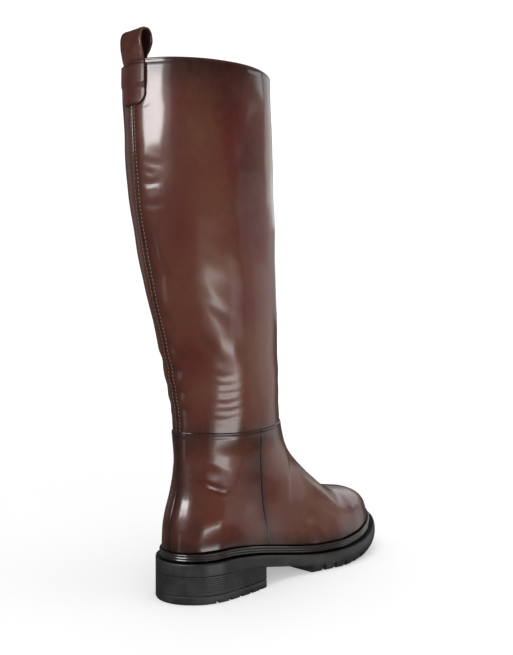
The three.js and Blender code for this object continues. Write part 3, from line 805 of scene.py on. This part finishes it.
def stitch_row(name, line, normals, pitch=3.1, length=2.3, radius=0.3, pale=0.0):
    """A row of stitches lying along a line on the leather, of dark thread, or of pale thread that is
    partly painted highlight.
    """
    middles = walk_line(line, pitch)
    nearest = [int(np.argmin(np.linalg.norm(line - m, axis=1))) for m in middles]
    facings = normals[nearest]
    tangents = np.gradient(middles, axis=0)
    tangents /= np.linalg.norm(tangents, axis=1, keepdims=True)
    sides = np.cross(tangents, facings)
    sides /= np.linalg.norm(sides, axis=1, keepdims=True)
    angles = np.linspace(0, 2 * np.pi, STITCH_SIDES, endpoint=False)[:, None]
    stitch = list(zip(STITCH_ALONG * length, STITCH_GIRTH * radius, STITCH_HEIGHT * radius))
    last_ring = (len(stitch) - 1) * STITCH_SIDES
    points, faces = [], []
    for middle, tangent, side, facing_out in zip(middles, tangents, sides, facings):
        first = len(points)
        turned = np.cos(angles) * side + np.sin(angles) * facing_out
        for along, girth, height in stitch:
            up = height - STITCH_SINK + radius * 0.4
            points.extend(middle + tangent * along + facing_out * up + girth * turned)
        faces += grid_quads(len(stitch), STITCH_SIDES, first, wrap=True)
        faces.append([first + k for k in range(STITCH_SIDES - 1, -1, -1)])
        faces.append([first + last_ring + k for k in range(STITCH_SIDES)])
    piece(name, points, faces, "thread", masks={"pale": np.full(len(points), pale)})


def line_beside(outer, normals, inset, from_end):
    """The line `inset` mm in from the start or the end of a grid's rows, and which way the leather
    faces along it."""
    line, facings = [], []
    for row, row_normals in zip(outer, normals):
        lengths = distance_walked(row)
        place = lengths[-1] - inset if from_end else inset
        line.append(read_along(row, lengths, place))
        facings.append(read_along(row_normals, lengths, place))
    return np.array(line), np.array(facings)


def below_top(outer, normals, inset):
    """The same, `inset` mm below a grid's top row."""
    up = run_along(outer, 0)
    row = int(np.argmin(np.abs((up[-1:] - up).mean(1) - inset)))
    line = np.array([
        read_along(outer[::-1, c], up[-1, c] - up[::-1, c], inset) for c in range(outer.shape[1])
    ])
    return line, normals[row]


# ---- outlines seen from above -----------------------------------------------------------------

TOE_SPREAD, BACK_SPREAD = 0.2, -0.3  # the outline is moved more at the toe and less at the back
TOE_PART, BACK_PART = (150, 220), (LAST_START, LAST_START + 25)
LOOP_STEPS_ACROSS = 6


class Outline:
    """The last's outline moved outwards by `out`, split into its outer and inner sides."""

    def __init__(self, out):
        y = mix(LAST_START, LAST_END, close_at_ends(700))
        half = np.sqrt(np.maximum(0, last_half_squared(y)))
        half[[0, -1]] = 0
        base = np.r_[
            np.c_[last_centre(y) + half, y],
            np.c_[last_centre(y) - half, y][-2:0:-1],
        ]
        step = np.roll(base, -1, 0) - np.roll(base, 1, 0)
        normal = np.c_[step[:, 1], -step[:, 0]] / np.linalg.norm(step, axis=1)[:, None]
        toe = TOE_SPREAD * eased(base[:, 1], TOE_PART)
        back = BACK_SPREAD * (1 - eased(base[:, 1], BACK_PART))
        spread = 1 + toe + back if out > 0 else 1
        moved = base + normal * (out * spread * np.ones(len(base)))[:, None]
        first, last = int(np.argmin(moved[:, 1])), int(np.argmax(moved[:, 1]))
        moved = np.roll(moved, -first, axis=0)
        last = (last - first) % len(moved)
        self.outer = moved[: last + 1]
        self.inner = np.r_[moved[last:], moved[:1]][::-1]

    def side(self, which, start, end, count):
        line = self.outer if which > 0 else self.inner
        lengths = distance_walked(line)
        first = 0 if start is None else np.interp(start, line[:, 1], lengths)
        last = lengths[-1] if end is None else np.interp(end, line[:, 1], lengths)
        return read_along(line, lengths, np.linspace(first, last, count))

    def loop(self, start=None, end=None, count=110):
        """A closed loop: up the outer side, across the front, down the inner side, across the back."""
        across = np.linspace(0, 1, LOOP_STEPS_ACROSS + 1)[1:-1]
        outer = self.side(1, start, end, count)
        inner = self.side(-1, start, end, count)[::-1]
        front = [mix(outer[-1], inner[0], t) for t in across]
        back = [mix(inner[-1], outer[0], t) for t in across]
        if end is None:
            front, inner = [], inner[1:]
        if start is None:
            back, inner = [], inner[:-1]
        return np.array([*outer, *front, *inner, *back])

    def edge(self, y, side):
        line = self.outer if side > 0 else self.inner
        return float(np.interp(y, line[:, 1], line[:, 0]))


def rail(out, height_at, **loop):
    """A loop at `out` from the last's outline, its height given along y."""
    flat = Outline(out).loop(**loop)
    return np.c_[flat, height_at(flat[:, 1])]


def lofted(rails, closed=False):
    """Points and faces through a stack of rails, which is capped with strips across the sole or
    closed into a ring."""
    rails = np.array(rails)
    rows, columns = rails.shape[:2]
    faces = grid_quads(rows, columns, wrap=True)
    if closed:
        last = (rows - 1) * columns
        c = np.arange(columns)
        after = (c + 1) % columns
        faces += np.stack([last + c, last + after, after, c], axis=-1).tolist()
    else:
        for first, flip in ((0, True), ((rows - 1) * columns, False)):
            for i in range(columns // 2):
                corners = (i, i + 1, columns - i - 1, columns - i)
                quad = list(dict.fromkeys(first + c % columns for c in corners))
                if len(quad) > 2:
                    faces.append(quad[::-1] if flip else quad)
    return rails.reshape(-1, 3), faces


CUT_FROM = -12.0  # cutters start well below the floor


def box_cutter(x, y, length, width, turn, depth):
    """A groove cut up into the tread at (x, y), turned about the upright."""
    cos, sin = math.cos(turn), math.sin(turn)
    top = float(toe_spring(y)) + depth
    corners = []
    for z in (CUT_FROM, top):
        for a, b in ((-1, -1), (1, -1), (1, 1), (-1, 1)):
            dx, dy = a * length / 2, b * width / 2
            corners.append((x + dx * cos - dy * sin, y + dx * sin + dy * cos, z))
    faces = [[3, 2, 1, 0], [4, 5, 6, 7], [0, 1, 5, 4], [1, 2, 6, 5], [2, 3, 7, 6], [3, 0, 4, 7]]
    return np.array(corners), faces


def edge_cutters(first, pitch, count, width, reach, depth):
    rim = Outline(SOLE_OUT)
    cutters = []
    for y in first + pitch * np.arange(count):
        for side in (1, -1):
            turn = math.atan2(rim.edge(y - 2, side) - rim.edge(y + 2, side), 4)
            cutters.append(box_cutter(rim.edge(y, side), y, 2 * reach, width, turn, depth))
    return cutters


def carve(obj, cutters, bevel=0.35):
    """Cuts shapes out of a piece and softens the edges that leaves."""
    points, faces = [], []
    for p, f in cutters:
        first = sum(len(q) for q in points)
        points.append(p)
        faces += [[v + first for v in face] for face in f]
    tool = add_object("cutter", new_mesh("cutter", np.concatenate(points), faces))
    cut = obj.modifiers.new("cut", "BOOLEAN")
    cut.operation, cut.solver, cut.object, cut.use_self = "DIFFERENCE", "EXACT", tool, True
    soft = obj.modifiers.new("soft", "BEVEL")
    soft.width, soft.segments, soft.limit_method = bevel * MM, 2, "ANGLE"
    soft.angle_limit = math.radians(40)
    settle(obj)
    bpy.data.objects.remove(tool)


def settle(obj):
    """Applies a piece's modifiers and smooths all but its sharp edges."""
    evaluated = obj.evaluated_get(bpy.context.evaluated_depsgraph_get())
    mesh = bpy.data.meshes.new_from_object(evaluated)
    obj.modifiers.clear()
    obj.data = mesh
    mesh.shade_smooth()
    mesh.set_sharp_from_angle(angle=math.radians(38))


# ---- sole -------------------------------------------------------------------------------------

HEEL_NOTCHES = dict(first=30, pitch=12, count=5, width=3, reach=7, depth=2.6)
EDGE_NOTCHES = dict(first=156, pitch=12.5, count=9, width=3.6, reach=13, depth=5.6)
TREAD_RING = (15, 19)  # the groove that runs round inside the edge lugs, measured from the edge
CHEVRONS = dict(first=160, pitch=13.5, count=7, reach=17, width=3.4, turn=0.35)
WAIST_CLEAR = 90, -15  # how far sideways and down the cut under the waist reaches
WAIST_STEP = (129, 134)  # where the sole's side comes down to the lugs
FOREPART = (95, 155)
# The sole's side: how far out from the last, depth from top (0) to underside (1), lift, and how
# much further out it stands on the forepart.
SOLE_SECTION = [
    (-3.0, 0, -1.4, 0), (2.2, 0, -1.4, 0), (3.2, 0, -1.2, 0), (4.3, 0, -0.5, 0), (5.2, 0, -0.08, 0),
    (5.8, 0, 0, 0), (6.3, 0, -0.2, 0), (6.65, 0, -0.6, 0), (6.8, 0, -1.2, 0), (6.8, 0.25, 0, 0.35),
    (6.8, 0.45, 0, 0.45), (6.8, 0.62, 0, 0.1), (6.8, 0.78, 0, -0.7), (6.8, 0.9, 0, -1.6),
    (6.8, 1, 0.5, -2.3), (6.7, 1, 0.12, -2.6), (6.4, 1, 0, -3.0), (2, 1, 0, -2.0),
]


def sole_rail(out, depth, lift):
    """A loop round the sole's side."""
    flat = Outline(out).loop(count=130)
    y = flat[:, 1]
    bottom = mix(sole_underside(y) - 1.5, toe_spring(y), eased(y, WAIST_STEP))
    return np.c_[flat, mix(sole_top(y), bottom, depth) + lift]


def bulged_rail(out, depth, lift, more):
    """The same, pushed out by `more` mm on the forepart only."""
    plain = sole_rail(out, depth, lift)
    pushed = sole_rail(out + more, depth, lift)
    return mix(plain, pushed, eased(plain[:, 1], FOREPART)[:, None])


def waist_cutter():
    """Takes away what lies under the sole's underside behind the tread."""
    side, down = WAIST_CLEAR
    ys = np.r_[-40, np.linspace(0, TREAD_START + 0.7, 70)]
    section = np.array([
        [(side, y, down), (-side, y, down), (-side, y, sole_underside(y)), (side, y, sole_underside(y))]
        for y in ys
    ])
    last = 4 * (len(ys) - 1)
    faces = grid_quads(len(ys), 4, wrap=True)
    return section.reshape(-1, 3), faces + [[0, 3, 2, 1], [last + k for k in range(4)]]


def tread_cutters():
    """The chevrons and the groove round them."""
    cutters = []
    for y in CHEVRONS["first"] + CHEVRONS["pitch"] * np.arange(CHEVRONS["count"]):
        for side in (1, -1):
            cutters.append(box_cutter(
                float(last_centre(y)) + side * CHEVRONS["reach"] / 2, y, CHEVRONS["reach"] + 1,
                CHEVRONS["width"], side * CHEVRONS["turn"], LUG_DEPTH,
            ))
    near, far = TREAD_RING
    ring = [
        rail(SOLE_OUT - inwards, lambda y, z=z: toe_spring(y) + z, start=TREAD_START + inwards, count=60)
        for inwards, z in ((near, -8), (near, LUG_DEPTH), (far, LUG_DEPTH), (far, -8))
    ]
    return cutters + [lofted(ring, closed=True)]


def make_outsole():
    rails = [bulged_rail(*row) for row in SOLE_SECTION]
    sole = piece("outsole_unit", *lofted(rails[::-1]), "sole_rubber", ("outsole",))
    carve(sole, [waist_cutter(), *edge_cutters(**EDGE_NOTCHES), *tread_cutters()])


HEEL_TOP = 22.4
HEEL_LINES = dict(first=20.6, pitch=1.75, count=7, depth=0.32)
# The tread lift's side, from top to bottom: how far out, height, how far forwards it ends.
HEEL_TREAD_SECTION = [
    (-0.7, 6.85, -0.3), (-0.15, 6.55, -0.1), (0, 6.0, 0), (0, 0.7, 0), (-0.25, 0.2, -0.2),
    (-0.8, 0.0, -0.6),
]


def heel_levels():
    """(height, how far in from the side) down the heel's wall, with its fine moulded lines."""
    levels = [(22.3, 0.4), (22.0, 0.0)]
    depth = HEEL_LINES["depth"]
    for i in range(HEEL_LINES["count"]):
        z = HEEL_LINES["first"] - i * HEEL_LINES["pitch"]
        levels += [(z + 0.42, 0), (z + 0.15, depth), (z - 0.15, depth), (z - 0.42, 0)]
    return levels + [(7.7, 0.0), (7.25, 0.15), (6.95, 0.6)]


def make_heel():
    top = lambda y: sole_underside(y) - 0.05
    rails = [rail(SOLE_OUT - 1.2, top, end=HEEL_BREAST, count=70)]
    for z, inwards in heel_levels():
        height = lambda y, z=z: np.minimum(z + 0 * y, top(y) - 0.02 * (HEEL_TOP - z))
        rails.append(rail(SOLE_OUT - inwards, height, end=HEEL_BREAST, count=70))
    heel = piece("heel_block", *lofted(rails[::-1]), "sole_rubber", ("heel",))
    settle(heel)
    rails = [
        rail(SOLE_OUT + out, level(z), end=HEEL_BREAST + breast, count=70)
        for out, z, breast in HEEL_TREAD_SECTION
    ]
    lift = piece("heel_tread", *lofted(rails[::-1]), "sole_rubber", ("heel_lift",))
    carve(lift, edge_cutters(**HEEL_NOTCHES), bevel=0.3)


# The sections of welt and sock: how far out from the last, how far above the upper's lower edge.
WELT_SECTION = [
    (-3.5, -0.5), (0.3, -0.5), (0.9, -0.2), (1.5, 0.0), (2.1, -0.1), (2.55, -0.55), (2.7, -1.15),
    (2.55, -1.7), (2.2, -2.05), (2.15, -2.3), (2.45, -2.6), (2.7, -3.1), (2.7, -3.6), (2.45, -4.05),
    (2.15, -4.3), (2.15, -4.5), (2.45, -4.8), (2.6, -5.2), (2.4, -5.7), (1.6, -6.1), (0.4, -6.4),
    (-3.5, -6.6),
]


SOCK_SECTION = [(-3.3, 0.3), (-3.3, 2.4), (-3.7, 3.0), (-4.6, 3.3), (-9, 3.35)]


def feather_rails(section, count):
    return [rail(out, lambda y, h=above: feather_height(y) + h, count=count) for out, above in section]


def make_welt():
    rails = feather_rails(WELT_SECTION, 170)
    piece("welt_strip", *lofted(rails[::-1], closed=True), "welt_leather", ("welt",))


def make_sock():
    piece("sock", *lofted(feather_rails(SOCK_SECTION, 110)), "insole_leather", ("insole",))


# ---- pull loop and back patch -----------------------------------------------------------------

STRAP_WIDTH = 24
STRAP_GAP = 0.4  # kept between the strap and the leg, because both are curved
SKIVED = 0.8  # the strap's ends are pared thin
STRAP_INNER_SHADE = 0.75  # painted shade on the strap's inner face, the side turned to the leg and into the loop
STRAP_INSET, STRAP_SEWN = 2.6, slice(22, 132)  # where its stitches run, across and along it
SHAFT_WALL = 2.0
END_OUT = STRAP_GAP + SKIVED / 2
END_IN = -SHAFT_WALL - STRAP_GAP - SKIVED / 2
# Up the back, over the fold and down inside: above the collar, out from the skin, thickness, and
# how far the strap is flat across its width.
LOOP_PATH = np.array([
    (-16, END_OUT, SKIVED, 0), (-3.5, END_OUT, SKIVED, 0), (0, 1.4, 1.6, 0), (4, 1.7, 2.2, 0.2),
    (10, 2.3, 2.2, 0.7), (15, 2.2, 2.2, 1), (19.8, 1, 2.2, 1), (22.4, -1.8, 2.2, 1),
    (22.5, -5.2, 2.2, 1), (19.8, -8, 2.2, 1), (14, -9.2, 2.2, 1), (8, -7.8, 2.2, 0.7),
    (2, -4.6, 1.8, 0.2), (-4, -3.2, 1.2, 0), (-10, END_IN, SKIVED, 0), (-20, END_IN, SKIVED, 0),
])
PATCH = dict(half=13.5, top=-3.5, length=31.4, thickness=1.4, corner=9)
PATCH_NARROWS = 0.42  # how much of its half width the lower end loses
PATCH_STEP = (-24, -17)  # between these heights under the collar it steps out over the strap
PATCH_DARK = 0.7
PATCH_INSETS = (1.9, 3.6)
PATCH_GROOVE, PATCH_GROOVE_WIDTH = 0.22, 0.5


def leg_points(across, z, out):
    """Points on the leg at height z, `across` mm round from the back seam, `out` mm off it."""
    ring = Ring(level(z))
    points = ring.at(across)
    along = ring.at(across + 0.6) - ring.at(across - 0.6)
    along /= np.linalg.norm(along, axis=-1, keepdims=True)
    outward = np.stack([along[:, 1], -along[:, 0], 0 * across], axis=-1)
    return points + np.reshape(out, (-1, 1)) * outward


STRAP_EDGE = 1.0  # how far in its edges are rounded


def edge_columns(half, rounding, inner):
    """Places across a strip, close together at its rounded edges."""
    side = half - rounding * (1 - np.cos(np.linspace(0, np.pi / 2, 5)))
    return np.r_[-side[:-1], np.linspace(-side[-1], side[-1], inner), side[:-1][::-1]]


def edge_thickness(columns, half):
    """What share of its thickness the strap with its rounded edges keeps at each place."""
    into = np.clip((STRAP_EDGE - (half - np.abs(columns))) / STRAP_EDGE, 0, 1)
    return np.sqrt(np.clip(1 - into**2, 0.0004, 1))


def make_pull_loop():
    half = STRAP_WIDTH / 2
    columns = edge_columns(half, STRAP_EDGE, 9)
    kept = edge_thickness(columns, half)
    steps = np.linspace(0, len(LOOP_PATH) - 1, 150)
    above, out, thick, flat = [
        curve(np.arange(len(LOOP_PATH)), LOOP_PATH[:, k])(steps) for k in range(4)
    ]
    back = float(back_line(COLLAR_HEIGHT))
    rows = []
    for a, o, f in zip(above, out, flat):
        z = COLLAR_HEIGHT + a
        curved = leg_points(columns, round(min(z, COLLAR_HEIGHT), 1), o)
        curved[:, 2] = z
        straight = np.c_[columns, np.full_like(columns, back - o + 1), np.full_like(columns, z)]
        rows.append(mix(curved, straight, f))
    middle = np.array(rows)
    normals = facing(middle)
    body = normals * (thick[:, None] / 2 * kept[None, :])[..., None]
    outer, inner = middle + body, middle - body
    edge = np.tile(1 - kept, (len(steps), 1))
    # the strap's inner face gets painted shade; its rounded edges are paler
    mask = {"burnish": np.r_[0 * edge, 0 * edge + STRAP_INNER_SHADE], "tanner": np.tile(edge, (2, 1))}
    points, faces = shell(outer, inner)
    piece("pull_loop_strap", points, [f[::-1] for f in faces], "trim_leather", ("pull_loop",), mask)
    for side, name in ((-1, "inner"), (1, "outer")):
        sewn = STRAP_SEWN, int(np.argmin(np.abs(columns - side * (half - STRAP_INSET))))
        stitch_row(f"loop_stitches_{name}", outer[sewn], normals[sewn], 2.6, 1.9, 0.24)


def make_patch():
    shares = np.r_[0, 0.01, 0.03, 0.06, np.linspace(0.09, 0.94, 40), 0.97, 0.99, 1]
    unit_columns = edge_columns(1.0, 0.08, 15)
    outer, inner, edge = [], [], []
    for share in shares:
        above = PATCH["top"] - PATCH["length"] * (1 - share)
        from_end = above - (PATCH["top"] - PATCH["length"])
        tuck = 1 - np.clip(from_end / PATCH["corner"], 0, 1)
        half = PATCH["half"] * (1 - PATCH_NARROWS * tuck**2.2)
        over = float(eased(above, PATCH_STEP)) * (SKIVED + STRAP_GAP)
        columns = unit_columns * half
        to_side = half - np.abs(columns)
        to_end = min(from_end, PATCH["top"] - above)
        drop = edge_drop(np.minimum(to_side, to_end), 1.0)
        z = round(COLLAR_HEIGHT + above, 2)
        groove = PATCH_GROOVE * bell(to_side - 2.0, PATCH_GROOVE_WIDTH)
        outer.append(leg_points(columns, z, GAP + over + PATCH["thickness"] - drop * 0.95 - groove))
        inner.append(leg_points(columns, z, GAP + over * 0.6 - 0.1 + 0 * columns))
        edge.append(bell(to_side, 2.0) + bell(to_end, 2.0))
    outer, inner, edge = np.array(outer), np.array(inner), np.clip(np.array(edge), 0, 1)
    mask = {"burnish": np.tile(edge * PATCH_DARK, (2, 1))}
    piece("back_patch_leather", *shell(outer, inner), "trim_leather", ("back_patch",), mask)
    normals = facing(outer)
    sewn = slice(3, -2)
    for inset in PATCH_INSETS:
        for name, from_end in (("inner", False), ("outer", True)):
            line = line_beside(outer[sewn], normals[sewn], inset, from_end)
            # pale thread here is partly a painted highlight on the lit back patch
            stitch_row(f"patch_stitches_{name}_{inset:.0f}", *line, 2.5, 1.8, 0.22, pale=0.9)


# ---- putting the boot together ----------------------------------------------------------------


def make_foot():
    rings = foot_rings(118)
    outer_seam = [seam_around(ring, 1) for ring in rings]
    inner_seam = [seam_around(ring, -1) for ring in rings]
    ends = [ring.round for ring in rings]
    spans = {
        "quarter_outer": ([0] * len(rings), outer_seam, 66, ()),
        "vamp": (outer_seam, inner_seam, 190, ("upper",)),
        "quarter_inner": (inner_seam, ends, 66, ()),
    }

    def lap(from_edge):
        return LAP * (1 - ease(from_edge[TOP] / LAP_FADE))

    for name, (starts, stops, count, replaces) in spans.items():
        grid = np.array([r.at(stations(a, b, count)) for r, a, b in zip(rings, starts, stops)])
        panel = leather_panel(
            name, grid, FOOT_ROUND, FOOT_DARK, [(TOP, ANKLE_INSET)], replaces, lift=lap
        )
        stitch_row(f"{name}_top_stitches", *below_top(*panel, ANKLE_INSET))


def make_shaft():
    grid = np.array([r.at(stations(0, r.round, 200)) for r in shaft_rings(165)])
    grooves = [(LEFT, BACK_INSET), (RIGHT, BACK_INSET), (TOP, COLLAR_INSET)]
    outer, normals = leather_panel(
        "shaft_leather", grid, SHAFT_ROUND, SHAFT_DARK, grooves, ("shaft",), rim=True
    )
    stitch_row("collar_stitches", *below_top(outer, normals, COLLAR_INSET), 2.8, 2.0, 0.24)
    sewn = slice(6, -2)
    for name, from_end in (("outer", False), ("inner", True)):
        line = line_beside(outer[sewn], normals[sewn], BACK_INSET, from_end)
        # pale thread here is partly a painted highlight on the lit back seam
        stitch_row(f"back_stitches_{name}", *line, 3.0, 2.1, 0.26, pale=1.0)


def make_lining():
    shares = np.r_[0, 0.004, np.linspace(0.01, 0.99, 110), 0.9975, 0.999, 1]
    rings = [Ring(lambda y, s=s: mix(feather_height(y) + 0.6, COLLAR_HEIGHT - 0.7, s)) for s in shares]
    grid = np.array([r.at(np.linspace(0, r.round, 150)) for r in rings])
    normals = facing(grid)
    drop = edge_drop(run_along(grid, 0)[-1:] - run_along(grid, 0), 0.6)[..., None]
    outer = grid - normals * (LEATHER + 0.1)
    inner = grid - normals * (WALL + 0.1 - 0.8 * drop)
    piece("lining", *shell(outer, inner), "lining_leather")


make_shaft()
make_foot()
make_lining()
make_sock()
make_welt()
make_outsole()
make_heel()
make_pull_loop()
make_patch()

# ---- floor, light and camera ------------------------------------------------------------------


FLOOR_REACH = 20.0
# The floor glows more with distance: between these distances, from this strength to that.
FLOOR_GLOW = (0.3, 2.2, 0.44, 0.95)
# How bright the world is as light, in gloss, and what it adds where it is seen.
WORLD_LIGHT, WORLD_GLOSS, WORLD_SEEN = 0.4, 0.07, 0.7
# Soft boxes that only show in the gloss: azimuth, distance, low, high, width, radiance. The ones
# below the floor are for leather that leans down towards the light.
GLOSS_BOXES = {
    "tall_back": (10, 1.6, 0.46, 0.92, 0.84, 15),
    "tall_halo": (24, 1.62, 0.42, 0.95, 0.62, 1.1),
    "low_back": (3, 1.6, -0.42, -0.14, 0.3, 0.9),
    "low_side": (91, 1.6, -0.43, -0.26, 0.88, 4.6),
    "low_side_halo": (91, 1.62, -0.54, -0.19, 1.12, 1.3),
    "low_side_haze": (88, 1.64, -0.66, -0.02, 1.4, 0.5),
    "quarter": (108, 1.7, -0.22, 0.0, 0.5, 0.7),
    "vamp": (150, 1.8, -0.5, 0.58, 2.2, 0.38),
    "vamp_core": (154, 1.82, -0.3, 0.3, 1.3, 0.3),
    "far_side": (150, 1.6, 0.74, 0.95, 0.9, 1.9),
    "behind": (188, 2.0, 0.5, 1.3, 1.3, 0.8),
    "toe": (-165, 1.6, 0.2, 0.6, 1.0, 0.3),
    "inner_side": (-82, 2.0, 0.0, 1.4, 1.2, 0.12),
}
# The same for those that only light the leather.
LIGHT_BOXES = {"side": (122, 1.8, 0.0, 0.5, 1.6, 1.9), "key": (50, 2.0, 0.3, 1.8, 1.8, 1.0)}
OVERHEAD_AT, OVERHEAD_SIZE, OVERHEAD_RADIANCE = (0.2, 0.0, 2.0), 1.8, 1.3
CAMERA_AT = (0.5256, -0.4965, 0.2342)
CAMERA_LENS = 47.85
HEADING, TILT = math.radians(42.972), math.radians(-1.174)


def make_floor():
    mesh = bpy.data.meshes.new("floor")
    corners = [(FLOOR_REACH * x, FLOOR_REACH * y, 0) for x, y in ((-1, -1), (1, -1), (1, 1), (-1, 1))]
    mesh.from_pydata(corners, [], [[0, 1, 2, 3]])
    floor = add_object("floor", mesh)
    material, tree, shader, vector = new_material("floor_paper")
    white = (0.9, 0.9, 0.9, 1)
    set_plain(shader, Roughness=0.9, Specular_IOR_Level=0.1, Base_Color=white, Emission_Color=white)
    away = add(tree, "VectorMath", {0: vector}, operation="LENGTH").outputs["Value"]
    tree.links.new(spread(tree, away, *FLOOR_GLOW), shader.inputs["Emission Strength"])
    floor.data.materials.append(material)
    floor.visible_glossy = False


def make_area_light(name, place, width, height, radiance, lights=True, shows=True):
    """A soft light. One that doesn't light the leather only shows in its gloss."""
    light = bpy.data.lights.new(name, "AREA")
    light.shape, light.size, light.size_y = "RECTANGLE", width, height
    light.energy = radiance * math.pi * width * height
    obj = add_object(name, light)
    obj.location = place
    obj.visible_camera, obj.visible_diffuse, obj.visible_glossy = False, lights, shows
    return obj


def make_softbox(name, azimuth, distance, low, high, width, radiance, **seen):
    """An upright soft light between two heights, facing the boot from round about it."""
    a = math.radians(azimuth)
    towards = Vector((math.sin(a), -math.cos(a), 0))
    place = towards * distance + Vector((0, 0, (low + high) / 2))
    obj = make_area_light(name, place, width, high - low, radiance, **seen)
    obj.rotation_mode = "QUATERNION"
    obj.rotation_quaternion = towards.to_track_quat("Z", "Y")


def make_world():
    """Even light all round, bright where it is seen behind the boot and dim in its gloss."""
    world = bpy.data.worlds.new("studio")
    world.use_nodes = True
    bpy.context.scene.world = world
    tree = world.node_tree
    path = add(tree, "LightPath")
    seen = math_node(tree, "MULTIPLY", path.outputs["Is Camera Ray"], WORLD_SEEN)
    dimmed = math_node(tree, "MULTIPLY", path.outputs["Is Glossy Ray"], WORLD_GLOSS - WORLD_LIGHT)
    strength = math_node(tree, "ADD", math_node(tree, "ADD", seen, dimmed), WORLD_LIGHT)
    background = tree.nodes["Background"]
    background.inputs["Color"].default_value = (1, 1, 1, 1)
    tree.links.new(strength, background.inputs["Strength"])


def make_camera():
    camera = bpy.data.cameras.new("camera")
    camera.sensor_width, camera.lens = 36, CAMERA_LENS
    camera.clip_start, camera.clip_end = 0.01, 50
    eye = add_object("camera", camera)
    bpy.context.scene.camera = eye
    level_reach = math.cos(TILT)
    look = Vector((-math.sin(HEADING) * level_reach, math.cos(HEADING) * level_reach, math.sin(TILT)))
    eye.location = CAMERA_AT
    eye.rotation_mode = "QUATERNION"
    eye.rotation_quaternion = look.to_track_quat("-Z", "Y")


make_floor()
make_world()
for name, box in GLOSS_BOXES.items():
    make_softbox(name, *box, lights=False)
for name, box in LIGHT_BOXES.items():
    make_softbox(name, *box, shows=False)
make_area_light("overhead", OVERHEAD_AT, OVERHEAD_SIZE, OVERHEAD_SIZE, OVERHEAD_RADIANCE, shows=False)
make_camera()
bpy.context.scene.view_settings.view_transform = "Standard"
